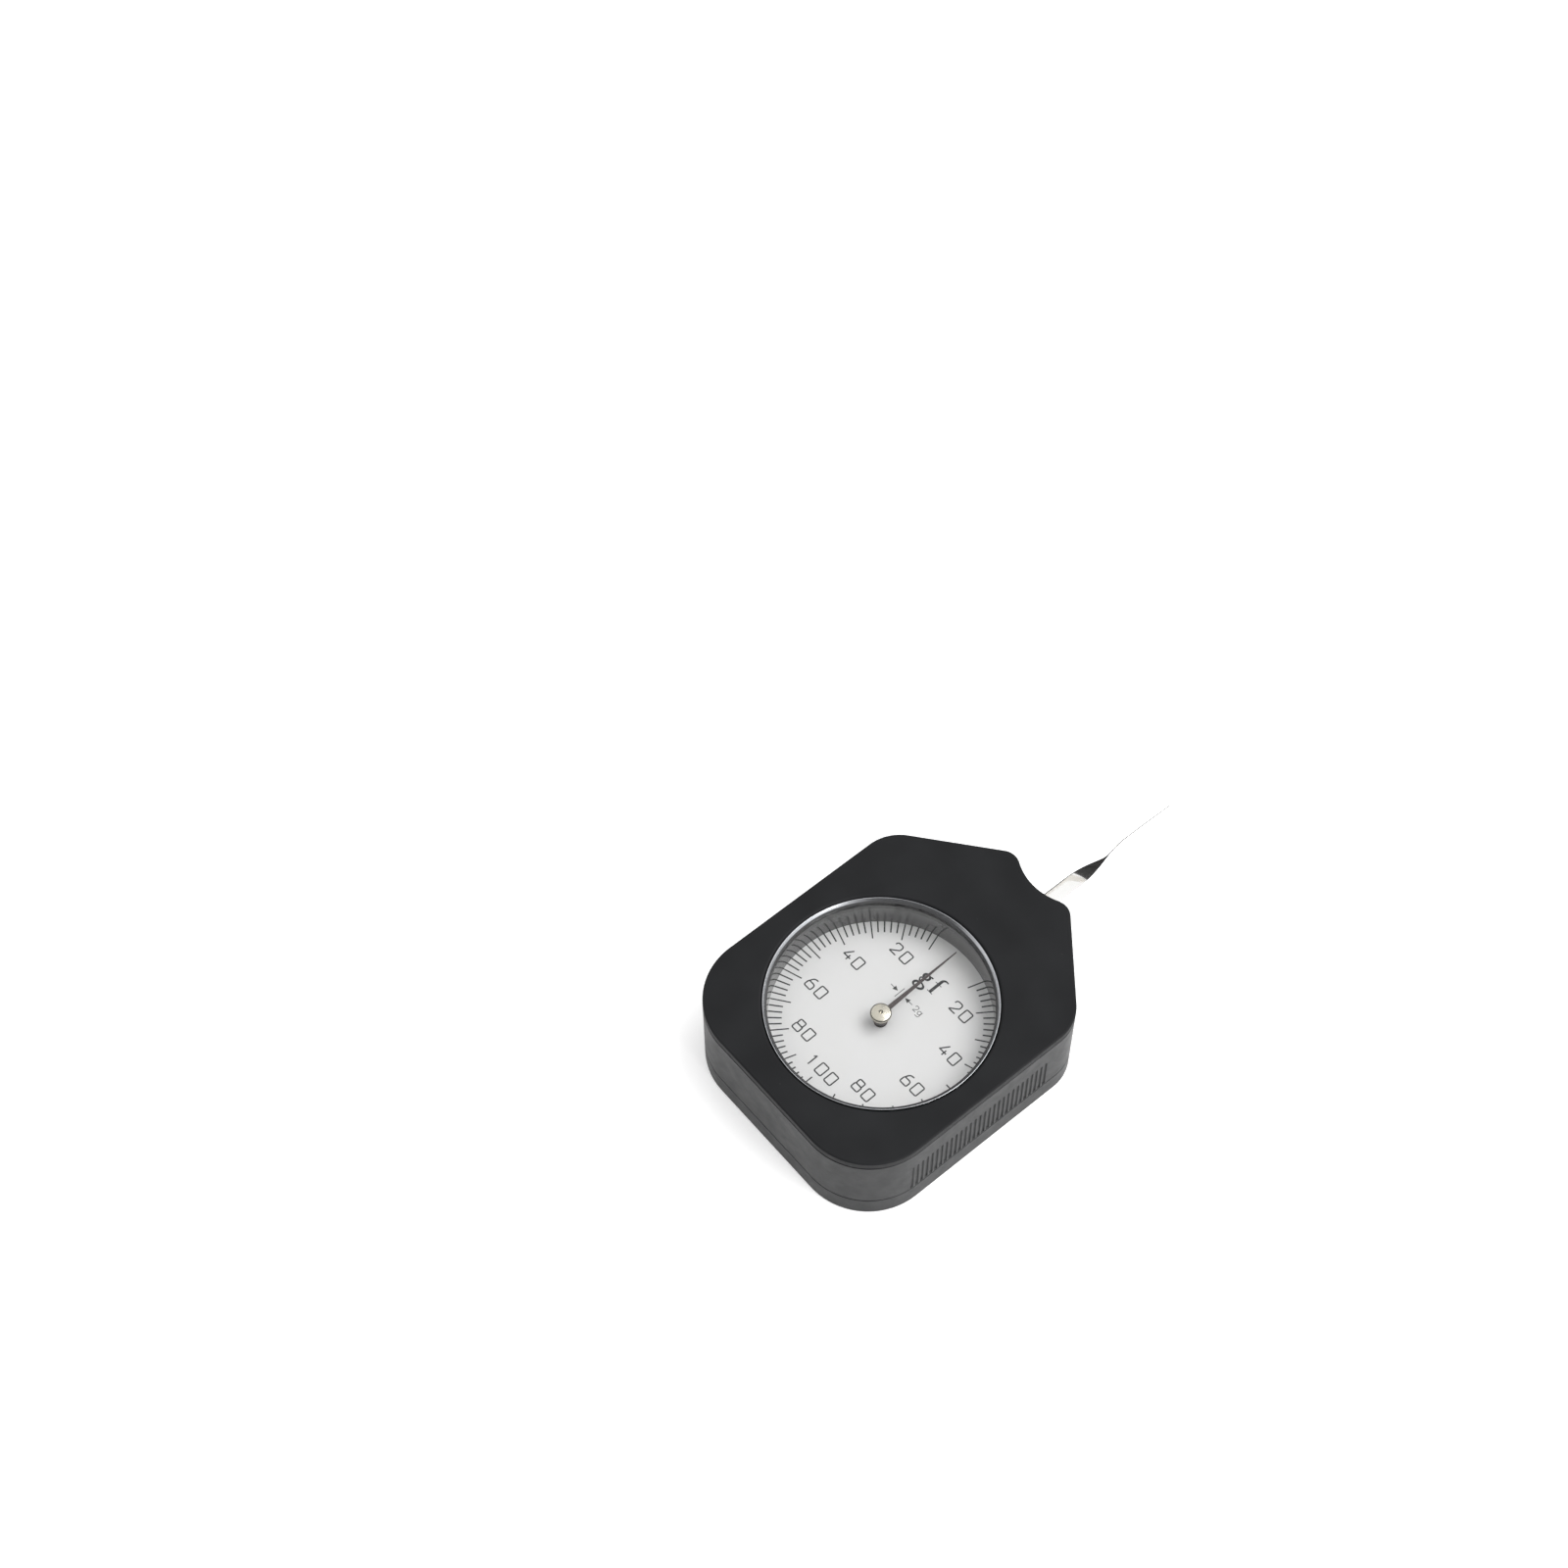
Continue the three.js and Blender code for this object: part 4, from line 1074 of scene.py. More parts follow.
@dataclass
class MidCase(Shell):
    """The wall of the case with its grip panels, screw columns, lugs and the feeler's slot."""

    # Flank and end of a groove: shares of the groove's round beyond its edge, and of its depth
    FLANK_SHARES = (
        (1.0, 0.0), (0.45, 0.03), (0.1, 0.16), (-0.1, 0.5), (-0.35, 0.86), (-0.8, 0.98), (-1.3, 1.0),
    )
    END_SHARES = ((-0.4, 0.0), (0.0, 0.0), (0.35, 0.05), (0.8, 0.5), (1.2, 0.9), (2.0, 1.0))

    rib_pitch: float = 1.084 * MM
    groove_width: float = 0.6 * MM
    groove_depth: float = 0.25 * MM
    grip_length: float = 31.4 * MM
    grip_middle: float = 0.8 * MM
    grip_height: float = 8.15 * MM
    grip_foot: float = 0.15 * MM
    groove_round: float = 0.18 * MM
    seam_height: float = 0.2 * MM
    seam_depth: float = 0.25 * MM
    lip_depth: float = 2.0 * MM
    slot_height: float = 4.0 * MM
    slot_gap: float = 0.3 * MM
    slot_corner: float = 0.5 * MM
    swing: float = math.radians(15)
    twist_excess: float = 0.08 * MM
    lug_radius: float = 2.2 * MM
    lug_offset: float = 3.0 * MM
    lug_height: float = 3.2 * MM
    lug_share: float = 0.4
    thread_radius: float = 0.9 * MM
    thread_roof: float = 0.5 * MM

    def groove_middles(self) -> list[float]:
        """Heights of the grooves' middles along the side."""
        count = round(self.grip_length / self.rib_pitch)
        return [self.grip_middle + (i - (count - 1) / 2) * self.rib_pitch for i in range(count)]

    def groove_profile(self) -> list[Point]:
        """One groove as (offset from its middle, share of its depth), rounded at lip and floor.

        Returns:
            The points, in rising order of the offset.
        """
        half = self.groove_width / 2
        flank = [(half + self.groove_round * beyond, share) for beyond, share in self.FLANK_SHARES]
        return [(-x, share) for x, share in flank] + [(x, share) for x, share in reversed(flank)]

    def grip_rows(self, bottom: float) -> list[Point]:
        """Heights up the wall with the share of the grooves' depth at each.

        Args:
            bottom: Height of the wall's foot.

        Returns:
            Pairs of height and share, in rising order.
        """
        low = bottom + self.grip_foot
        high = low + self.grip_height
        ends = [(self.groove_round * inward, share) for inward, share in self.END_SHARES]
        return [
            *[(low + inward, share) for inward, share in ends],
            *[(high - inward, share) for inward, share in reversed(ends)],
        ]

    def build(self) -> bpy.types.Object:
        """Build the wall between its heights in the frame.

        Returns:
            The wall.
        """
        low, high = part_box("mid_case")
        bottom, top = low.z, high.z
        shares = [
            (middle + offset, share)
            for middle in self.groove_middles() for offset, share in self.groove_profile()
        ]
        self.stations = self.outline.stations([height for height, _ in shares])
        depth_at = {round(height, HEIGHT_DIGITS): share for height, share in shares}
        wall_top = top - self.seam_height
        rings = [
            self.ring(self.wall, bottom), self.ring(self.edge_break, bottom),
            self.ring(0, bottom + self.edge_break),
            *[self.grooved(height, share, depth_at) for height, share in self.grip_rows(bottom)],
            self.ring(0, wall_top - self.edge_break), self.ring(self.edge_break, wall_top),
            self.ring(self.seam_depth, wall_top), self.ring(self.seam_depth, top),
            self.ring(self.wall, top),
        ]
        draft = Draft()
        draft.skin(rings, cyclic=True)
        wall = draft.piece("mid_case_shell")
        foot = top - self.lip_depth
        work_in(wall, self.pegs(self.columns(), self.column_radius, bottom, foot), Join.ADD)
        work_in(wall, self.lugs(bottom), Join.ADD)
        work_in(wall, self.openings(bottom - self.overrun, foot + self.overrun), Join.CUT)
        return wall

    def grooved(self, height: float, row_share: float, depth_at: dict[float, float]) -> Ring:
        """The outline at a height, with the grooves cut into its sides.

        Args:
            height: Height of the ring.
            row_share: Share of the grooves' depth at this height.
            depth_at: Share of the grooves' depth by height along the side.

        Returns:
            The ring.
        """
        ring = self.ring(0, height)
        for point in ring:
            share = depth_at.get(round(point.y, HEIGHT_DIGITS), 0.0) * row_share
            floor = self.outline.half_width - self.groove_depth * share
            if share > 0 and abs(point.x) > floor:
                point.x = math.copysign(floor, point.x)
        return ring

    def lug_places(self) -> list[tuple[float, float, float]]:
        """Place and direction of the three lugs that hold the movement.

        Returns:
            Place and direction towards the wall, for each lug.
        """
        outline = self.outline
        turn = outline.slope_turn
        out = Vector((math.cos(turn), math.sin(turn)))
        start = Vector(outline.shoulder_centre) + out * outline.shoulder_radius
        finish = Vector(outline.neck_centre) + out * outline.neck_radius
        spot = start.lerp(finish, self.lug_share) - out * (self.wall + self.lug_offset)
        low = self.wall + self.lug_offset - outline.bottom_reach
        return [(spot.x, spot.y, turn), (-spot.x, spot.y, math.pi - turn), (0.0, low, -math.pi / 2)]

    def lugs(self, bottom: float) -> Draft:
        """The lugs, each with a round end towards the middle of the case.

        Args:
            bottom: Height of their lower faces.

        Returns:
            The draft that holds them.
        """
        draft = Draft()
        root = self.lug_offset + self.wall / 2
        for x, y, facing in self.lug_places():
            angles = [math.pi / 2 + math.pi * i / SCREW_SIDES for i in range(SCREW_SIDES + 1)]
            outline = [(self.lug_radius * math.cos(a), self.lug_radius * math.sin(a)) for a in angles]
            outline += [(root, -self.lug_radius), (root, self.lug_radius)]
            spin = Matrix.Rotation(facing, 2)
            seated = [tuple(spin @ Vector(point) + Vector((x, y))) for point in outline]
            draft.slab(seated, bottom, bottom + self.lug_height)
        return draft

    def openings(self, bottom: float, top: float) -> Draft:
        """The columns' bores, the lugs' threaded holes and the feeler's slot.

        Args:
            bottom: Height at which the bores start.
            top: Height at which they end.

        Returns:
            The draft that holds the tools.
        """
        draft = self.pegs(self.columns(), self.bore_radius, bottom, top)
        thread_top = bottom + self.overrun + self.lug_height - self.thread_roof
        for x, y, _ in self.lug_places():
            draft.plug(self.thread_radius, (bottom, thread_top), (x, y))
        strip_low, strip_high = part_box("feeler")
        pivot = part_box("feeler_arbor")
        pivot_y = (pivot[0].y + pivot[1].y) / 2
        middle = (strip_low.z + strip_high.z) / 2
        half_strip = (strip_high.z - strip_low.z - self.twist_excess) / 2
        reach = (self.outline.notch_floor + self.wall - pivot_y) * math.tan(self.swing)
        half = reach + half_strip / math.cos(self.swing) + self.slot_gap
        rise = self.slot_height / 2
        section = rounded_path([
            (-half, middle - rise, self.slot_corner), (half, middle - rise, self.slot_corner),
            (half, middle + rise, self.slot_corner), (-half, middle + rise, self.slot_corner),
        ], closed=True)
        ends = (self.outline.notch_floor - self.wall - self.overrun, self.outline.notch_centre)
        draft.skin([[Vector((x, y, z)) for x, z in section] for y in ends], flat_ends=True)
        return draft


@dataclass
class RearCover(Shell):
    """The tray that closes the back, with four sunk screw holes."""

    floor: float = 2.0 * MM
    edge_round: float = 0.3 * MM
    seam_height: float = 0.12 * MM
    seam_depth: float = 0.15 * MM
    head_hole: float = 2.15 * MM
    sink: float = 1.7 * MM
    hold: float = 0.12 * MM
    hole_break: float = 0.15 * MM
    round_steps: int = 6

    def build(self) -> bpy.types.Object:
        """Build the tray between its heights in the frame.

        Returns:
            The tray.
        """
        low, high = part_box("rear_cover")
        bottom, top = low.z, high.z
        rim = [
            self.ring(self.edge_round * (1 - math.sin(a)), bottom + self.edge_round * (1 - math.cos(a)))
            for a in (math.pi / 2 * i / self.round_steps for i in range(self.round_steps + 1))
        ]
        draft = Draft()
        draft.skin([
            [Vector((0, 0, bottom))], self.ring(self.edge_round + self.hold, bottom), *rim,
            self.ring(0, bottom + self.edge_round + self.hold),
            self.ring(0, top - self.seam_height - self.edge_break),
            self.ring(self.edge_break, top - self.seam_height),
            self.ring(self.seam_depth, top - self.seam_height), self.ring(self.seam_depth, top),
            self.ring(self.wall, top), self.ring(self.wall, bottom + self.floor),
            [Vector((0, 0, bottom + self.floor))],
        ])
        tray = draft.piece("rear_cover_shell")
        foot = bottom + self.floor - self.edge_round
        work_in(tray, self.pegs(self.columns(), self.column_radius, foot, top), Join.ADD)
        holes = Draft()
        for place in self.columns():
            holes.turned([
                (0, bottom - self.overrun), (self.head_hole + self.hole_break, bottom - self.overrun),
                (self.head_hole + self.hole_break, bottom), (self.head_hole, bottom + self.hole_break),
                (self.head_hole, bottom + self.sink), (self.bore_radius, bottom + self.sink),
                (self.bore_radius, top + self.overrun), (0, top + self.overrun),
            ], BORE_SIDES, place)
        work_in(tray, holes, Join.CUT)
        return tray


@dataclass
class DialWindow:
    """What fills the opening above the dial: bright ring, pane, seal and the wall of the well."""

    bezel_widths: Point = (0.42 * MM, 0.1 * MM)
    gasket_widths: Point = (0.75 * MM, 0.43 * MM)
    bezel_sunk: float = 0.08 * MM
    ring_edge: float = 0.03 * MM
    wall_width: float = 0.75 * MM
    wall_round: float = 0.08 * MM
    pane_gap: float = 0.05 * MM
    pane_edge: float = 0.08 * MM

    def ring(self, name: str, reach: float, widths: Point, heights: Point) -> bpy.types.Object:
        """A turned ring whose inner face slopes inwards and down.

        Args:
            name: Name of the piece.
            reach: Its outer radius.
            widths: Width of its section at the foot and at the head.
            heights: Where its foot and head lie.

        Returns:
            The ring.
        """
        foot, head = heights
        profile = rounded_path([
            (reach - widths[0], foot, 0), (reach, foot, 0), (reach, head, self.ring_edge),
            (reach - widths[1], head, self.ring_edge),
        ], closed=True)
        return turned_piece(name, profile, FINE_SIDES, cyclic=True)

    def pane(self) -> bpy.types.Object:
        """The clear pane with its edges broken.

        Returns:
            The pane.
        """
        low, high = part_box("crystal")
        edge, outer = self.pane_edge, high.x
        return turned_piece("crystal_pane", [
            (0, low.z), (outer - edge, low.z), (outer, low.z + edge), (outer, high.z - edge),
            (outer - edge, high.z), (0, high.z),
        ], FINE_SIDES)

    def well(self) -> bpy.types.Object:
        """The wall round the well, with the step that holds the pane.

        Returns:
            The wall.
        """
        low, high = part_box("dial_well_ring")
        pane_low, pane_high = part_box("crystal")
        outer, inner = high.x, high.x - self.wall_width
        rebate = pane_high.x + self.pane_gap
        profile = rounded_path([
            (inner, low.z, 0), (outer, low.z, 0), (outer, high.z, 0), (rebate, high.z, 0),
            (rebate, pane_low.z, 0), (inner, pane_low.z, self.wall_round),
        ], closed=True)
        return turned_piece("dial_well_wall", profile, FINE_SIDES, cyclic=True)

    def build(self, palette: Palette) -> None:
        """Build and seat the four pieces.

        Args:
            palette: The finishes.
        """
        low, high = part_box("bezel_ring")
        seam = low.z - self.bezel_sunk
        bezel = self.ring("bezel_bright_ring", high.x, self.bezel_widths, (seam, high.z))
        seat(bezel, Body.CASE, palette.bezel, "bezel_ring")
        foot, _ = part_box("crystal_gasket")
        gasket = self.ring("gasket_seal", high.x, self.gasket_widths, (foot.z, seam - self.ring_edge / 2))
        seat(gasket, Body.CASE, palette.gasket, "crystal_gasket")
        seat(self.pane(), Body.CASE, palette.pane, "crystal")
        seat(self.well(), Body.CASE, palette.wall, "dial_well_ring")


class StrokeFont:
    """Plain engraved numerals, each a few strokes in a cell one wide and one high."""

    ROUND = 0.16
    WIDE_ROUND = 0.28
    ROUND_STEPS = 4
    FULL = [(0.0, 0.0, ROUND), (1.0, 0.0, ROUND), (1.0, 1.0, ROUND), (0.0, 1.0, ROUND)]

    @classmethod
    def strokes(cls, mark: str) -> list[tuple[list[Corner], bool]]:
        """The strokes of a mark.

        Args:
            mark: One of the numerals that the scale needs.

        Returns:
            Corners with their rounds, and whether the stroke closes, for each stroke.
        """
        soft, wide = cls.ROUND, cls.WIDE_ROUND
        return {
            "0": [(cls.FULL, True)],
            "1": [([(0.30, 0.80, 0), (0.55, 1.0, 0.02), (0.55, 0.0, 0)], False)],
            "2": [([
                (0.02, 0.72, 0), (0.04, 1.0, wide), (0.95, 1.0, wide), (0.95, 0.56, wide),
                (0.0, 0.0, 0.04), (1.0, 0.0, 0),
            ], False)],
            "4": [
                ([(1.04, 0.28, 0), (0.0, 0.28, 0.02), (0.66, 1.0, 0)], False),
                ([(0.72, 0.52, 0), (0.72, 0.0, 0)], False),
            ],
            "6": [([
                (0.86, 1.0, 0), (0.32, 0.96, 0.5), (0.0, 0.40, 0.3), (0.0, 0.0, soft), (1.0, 0.0, soft),
                (1.0, 0.55, wide), (0.04, 0.55, 0),
            ], False)],
            "8": [
                ([(0.0, 0.0, soft), (1.0, 0.0, soft), (1.0, 0.53, soft), (0.0, 0.53, soft)], True),
                ([(0.08, 0.53, soft), (0.92, 0.53, soft), (0.92, 1.0, soft), (0.08, 1.0, soft)], True),
            ],
        }[mark]

    @classmethod
    def draw(
        cls, draft: Draft, text: str, middle: Point, cell: Point, pitch: float, line: float, heights: Point,
    ) -> None:
        """Draw a number.

        Args:
            draft: Where the strokes go.
            text: The numerals.
            middle: Middle of the number.
            cell: Width and height of a numeral, from the middle of one line to that of the other.
            pitch: Step from one numeral to the next.
            line: Width of the line.
            heights: Where the ink starts and ends.
        """
        for i, mark in enumerate(text):
            left = middle[0] + (i - (len(text) - 1) / 2) * pitch - cell[0] / 2
            foot = middle[1] - cell[1] / 2
            for corners, closed in cls.strokes(mark):
                sized = [
                    (left + x * cell[0], foot + y * cell[1], soft * cell[0]) for x, y, soft in corners
                ]
                draft.stroke(rounded_path(sized, closed, cls.ROUND_STEPS), line, heights, closed)


@dataclass(frozen=True)
class UnitMark:
    """The unit of force: a two-storey letter with a tall hooked one beside it.

    Its places and lines are in millimetres, from the middle of the first letter.
    """

    bowls: tuple = ((0.0, 0.42, 0.62, 0.55, 0.0), (0.12, -1.75, 0.98, 0.62, 0.18))
    joins: tuple = (
        ((-0.35, -0.02, 0.0), (-0.75, -0.45, 0.2), (-0.45, -0.95, 0.2), (0.55, -1.12, 0.0)),
        ((0.42, 0.75, 0.0), (0.72, 1.0, 0.1), (1.05, 0.98, 0.0)),
    )
    hook: tuple = ((2.45, -1.2, 0.0), (2.45, 2.45, 0.7), (3.55, 2.3, 0.0))
    bars: tuple = (((1.83, -1.2), (3.07, -1.2)), ((1.75, 0.95), (3.15, 0.95)))
    bowl_line: Point = (0.2, 0.48)
    join_line: float = 0.28
    hook_line: Point = (0.58, 0.24)
    bar_line: float = 0.14
    bowl_steps: int = 36
    hook_steps: int = 10

    def bowl_width(self, share: float) -> float:
        """Width of a bowl's stroke, thick at its sides and thin at its head and foot."""
        thin, thick = self.bowl_line
        return (thin + (thick - thin) * abs(math.cos(2 * math.pi * share))) * MM

    def hook_width(self, share: float) -> float:
        """Width of the hooked letter's stroke, which narrows towards the hook."""
        foot, end = self.hook_line
        return (foot + (end - foot) * share) * MM

    def draw(self, draft: Draft, middle: Point, heights: Point) -> None:
        """Draw the unit.

        Args:
            draft: Where the strokes go.
            middle: Middle of the first letter.
            heights: Where the ink starts and ends.
        """
        x, y = middle
        for across, up, half_wide, half_high, lean in self.bowls:
            turns = [2 * math.pi * i / self.bowl_steps for i in range(self.bowl_steps)]
            path = [
                (x + (across + half_wide * math.cos(t) + lean * math.sin(t)) * MM,
                 y + (up + half_high * math.sin(t)) * MM) for t in turns
            ]
            draft.stroke(path, self.bowl_width, heights, closed=True)
        for corners in self.joins:
            draft.stroke(rounded_path(placed(corners, middle), closed=False), self.join_line * MM, heights)
        hook = rounded_path(placed(self.hook, middle), closed=False, steps=self.hook_steps)
        draft.stroke(hook, self.hook_width, heights)
        for bar in self.bars:
            draft.stroke([(x + across * MM, y + up * MM) for across, up in bar], self.bar_line * MM, heights)


@dataclass(frozen=True)
class DivisionMark:
    """Two arrows that point at the bars of one division, and its value beside them."""

    line: float = 0.12 * MM
    bars: Point = (-2.15 * MM, -1.15 * MM)
    bar_reach: float = 1.2 * MM
    arrows: tuple[Point, Point] = ((-2.6 * MM, -4.4 * MM), (-0.7 * MM, 1.1 * MM))
    head_length: float = 0.95 * MM
    head_reach: float = 0.46 * MM
    numeral_middle: float = 2.1 * MM
    numeral: Point = (0.72 * MM, 1.1 * MM)
    letter_middle: float = 3.1 * MM
    bowl_reach: Point = (0.34 * MM, 0.36 * MM)
    bowl_drop: float = 0.15 * MM
    bowl_steps: int = 20
    tail: tuple = ((0.38, 0.3, 0.0), (0.38, -0.95, 0.25), (-0.35, -0.95, 0.0))

    def draw(self, draft: Draft, y: float, heights: Point) -> None:
        """Draw the mark.

        Args:
            draft: Where the strokes go.
            y: Height of the mark's middle line on the dial.
            heights: Where the ink starts and ends.
        """
        for bar in self.bars:
            draft.stroke([(bar, y - self.bar_reach), (bar, y + self.bar_reach)], self.line, heights)
        for tip, tail in self.arrows:
            neck = tip + math.copysign(self.head_length, tail - tip)
            head = [(tip, y), (neck, y - self.head_reach), (neck, y + self.head_reach)]
            draft.slab(head if neck > tip else head[::-1], *heights)
            draft.stroke([(neck, y), (tail, y)], self.line, heights)
        StrokeFont.draw(draft, "2", (self.numeral_middle, y), self.numeral, 0, self.line, heights)
        turns = [2 * math.pi * i / self.bowl_steps for i in range(self.bowl_steps)]
        bowl = [
            (self.letter_middle + self.bowl_reach[0] * math.cos(t),
             y + self.bowl_reach[1] * math.sin(t) - self.bowl_drop) for t in turns
        ]
        draft.stroke(bowl, self.line, heights, closed=True)
        tail_path = rounded_path(placed(self.tail, (self.letter_middle, y)), closed=False)
        draft.stroke(tail_path, self.line, heights)


@dataclass
class DialFace:
    """The white dial with its two-way scale, plain numbers, unit and division mark."""

    hole_radius: float = 1.2 * MM
    edge: float = 0.06 * MM
    ink_height: float = 0.015 * MM
    print_turn: float = math.radians(1.1)
    print_middle: Point = (0.2 * MM, 0.3 * MM)
    units_per_tick: int = 2
    units_per_long_tick: int = 10
    full_scale: int = 100
    full_turn: float = math.pi
    tick_end: float = 20.0 * MM
    short_tick: float = 17.5 * MM
    long_tick: float = 16.3 * MM
    tick_line: float = 0.27 * MM
    long_line: float = 0.24 * MM
    number_step: int = 20
    number_reach: Point = (13.05 * MM, 14.1 * MM)
    numeral: Point = (1.56 * MM, 2.2 * MM)
    numeral_pitch: float = 2.45 * MM
    numeral_line: float = 0.25 * MM
    unit_middle: Point = (-1.25 * MM, 11.15 * MM)
    division_height: float = 5.95 * MM

    def __post_init__(self) -> None:
        """Take the dial's heights from the frame."""
        low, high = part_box("dial_plate")
        self.radius, self.bottom, self.top = high.x, low.z, high.z
        self.ink = (self.top - self.ink_height, self.top + self.ink_height)

    def around(self, value: float, radius: float) -> Point:
        """The place of a scale value at a radius, before the print is turned."""
        angle = math.pi / 2 - value / self.full_scale * self.full_turn
        return radius * math.cos(angle), radius * math.sin(angle)

    def plate(self) -> bpy.types.Object:
        """The enamelled plate with its hole.

        Returns:
            The plate.
        """
        return turned_piece("dial_face_plate", [
            (self.hole_radius, self.bottom), (self.radius, self.bottom),
            (self.radius, self.top - self.edge), (self.radius - self.edge, self.top),
            (self.hole_radius + self.edge, self.top), (self.hole_radius, self.top - self.edge),
        ], FINE_SIDES, cyclic=True)

    def ticks(self) -> bpy.types.Object:
        """The ticks of both halves, which leave the stretch round zero free.

        Returns:
            The printed piece.
        """
        draft = Draft()
        first = self.units_per_long_tick
        values = list(range(first, self.full_scale + 1, self.units_per_tick))
        for value in [-v for v in values[:-1]] + values:
            is_long = value % self.units_per_long_tick == 0
            start = self.long_tick if is_long else self.short_tick
            line = self.long_line if is_long else self.tick_line
            draft.stroke([self.around(value, start), self.around(value, self.tick_end)], line, self.ink)
        return self.printed(draft, "dial_scale_ticks")

    def numbers(self) -> bpy.types.Object:
        """The upright numbers of both halves.

        Returns:
            The printed piece.
        """
        draft = Draft()
        values = list(range(self.number_step, self.full_scale, self.number_step))
        for value in [-v for v in values] + values + [self.full_scale]:
            across, up = self.around(value, 1.0)
            middle = (across * self.number_reach[0], up * self.number_reach[1])
            StrokeFont.draw(
                draft, str(abs(value)), middle, self.numeral, self.numeral_pitch,
                self.numeral_line, self.ink,
            )
        return self.printed(draft, "dial_numbers")

    def unit(self) -> bpy.types.Object:
        """The unit of force.

        Returns:
            The printed piece.
        """
        draft = Draft()
        UnitMark().draw(draft, self.unit_middle, self.ink)
        return self.printed(draft, "dial_unit")

    def division_mark(self) -> bpy.types.Object:
        """The mark that gives the value of one division.

        Returns:
            The printed piece.
        """
        draft = Draft()
        DivisionMark().draw(draft, self.division_height, self.ink)
        return self.printed(draft, "dial_division_mark")

    def printed(self, draft: Draft, name: str) -> bpy.types.Object:
        """Make a printed piece, turned and moved as the whole print is.

        Args:
            draft: The print as drafted.
            name: Name of the piece.

        Returns:
            The printed piece.
        """
        draft.turn(self.print_turn)
        bmesh.ops.translate(draft.mesh, vec=(*self.print_middle, 0), verts=draft.mesh.verts)
        return draft.piece(name)

    def build(self, palette: Palette) -> None:
        """Build and seat the plate and its print.

        Args:
            palette: The finishes.
        """
        seat(self.plate(), Body.CASE, palette.dial, "dial_plate")
        for piece in (self.ticks(), self.numbers(), self.unit()):
            seat(piece, Body.CASE, palette.ink)
        seat(self.division_mark(), Body.CASE, palette.fine_ink)


@dataclass
class PointerParts:
    """The tapered needle and the polished hub that holds it on its arbor."""

    eye_radius: float = 1.4 * MM
    eye_hole: float = 0.75 * MM
    root_width: float = 0.9 * MM
    tip_width: float = 0.14 * MM
    reach: float = 18.1 * MM
    rest_angle: float = math.radians(2)
    bevel: float = 0.05 * MM
    cap_radius: float = 1.9 * MM
    cap_height: float = 0.75 * MM
    cap_edge: float = 0.38 * MM
    boss_edge: float = 0.2 * MM
    cap_crown: float = 0.1 * MM
    cap_foot_round: float = 0.1 * MM
    cap_steps: int = 8
    stem_radius: float = 0.65 * MM
    boss_radius: float = 1.4 * MM
    dimple_radius: float = 0.32 * MM
    dimple_depth: float = 0.28 * MM
    dimple_lip: float = 0.08 * MM
    dimple_edge: float = 0.02 * MM
    dimple_sink: float = 0.02 * MM
    dimple_bow: float = 0.8
    dimple_steps: int = 8
    bore: float = 0.45 * MM

    def needle(self) -> bpy.types.Object:
        """The needle: an eye that runs into a long taper.

        Returns:
            The needle.
        """
        low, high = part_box("pointer")
        root, tip = self.root_width / 2, self.tip_width / 2
        opening = math.acos(root / self.eye_radius)
        sweep = math.pi + 2 * opening
        angles = [math.pi - opening + sweep * i / HUB_SIDES for i in range(HUB_SIDES + 1)]
        outline = [(self.eye_radius * math.cos(a), self.eye_radius * math.sin(a)) for a in angles]
        outline += [(tip, self.reach - tip), (0.0, self.reach), (-tip, self.reach - tip)]
        draft = Draft()
        draft.slab(outline, low.z, high.z, self.bevel)
        draft.turn(self.rest_angle)
        needle = draft.piece("pointer_needle")
        hole = Draft()
        hole.plug(self.eye_hole, (low.z - self.cap_height, high.z + self.cap_height))
        work_in(needle, hole, Join.CUT)
        return needle

    def hub(self) -> bpy.types.Object:
        """The hub: boss below the needle, thin stem through it and a crowned cap with a dimple.

        Returns:
            The hub.
        """
        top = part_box("pointer_hub")[1].z
        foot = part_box("pointer")[0].z
        cap_low = top - self.cap_height
        bore_top = top - self.dimple_depth - self.bore
        slants = [math.pi / 2 * (1 - i / self.dimple_steps) for i in range(1, self.dimple_steps + 1)]
        dimple = [
            (self.dimple_radius * math.sin(a),
             top - self.dimple_sink - self.dimple_depth * (1 - (1 - math.cos(a)) ** self.dimple_bow))
            for a in slants
        ]
        upper = rounded_path([
            (self.stem_radius, foot, 0), (self.stem_radius, cap_low, 0),
            (self.cap_radius, cap_low, self.cap_foot_round),
            (self.cap_radius, top - self.cap_crown, self.cap_edge),
            (self.dimple_radius + self.dimple_lip, top, self.dimple_edge),
        ], closed=False, steps=self.cap_steps)
        lower = [(0, bore_top), (self.bore, bore_top), (self.bore, foot)]
        return turned_piece("pointer_hub_cap", [*lower, *upper, *dimple], HUB_SIDES)

    def collar(self) -> bpy.types.Object:
        """The collar on which the needle's eye rests. Its dark lacquer is the needle's and also paints the
        shade under the hub's cap.

        Returns:
            The collar.
        """
        low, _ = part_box("pointer_hub")
        top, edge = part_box("pointer")[0].z, self.boss_edge
        return turned_piece("pointer_collar", [
            (self.bore, low.z), (self.boss_radius - edge, low.z), (self.boss_radius, low.z + edge),
            (self.boss_radius, top), (self.bore, top),
        ], HUB_SIDES, cyclic=True)

    def build(self, palette: Palette) -> None:
        """Build and seat needle and hub.

        Args:
            palette: The finishes.
        """
        seat(self.needle(), Body.POINTER, palette.needle, "pointer")
        seat(self.hub(), Body.POINTER, palette.hub, "pointer_hub")
        # The collar's dark lacquer also paints the shade under the hub's cap
        seat(self.collar(), Body.POINTER, palette.needle)


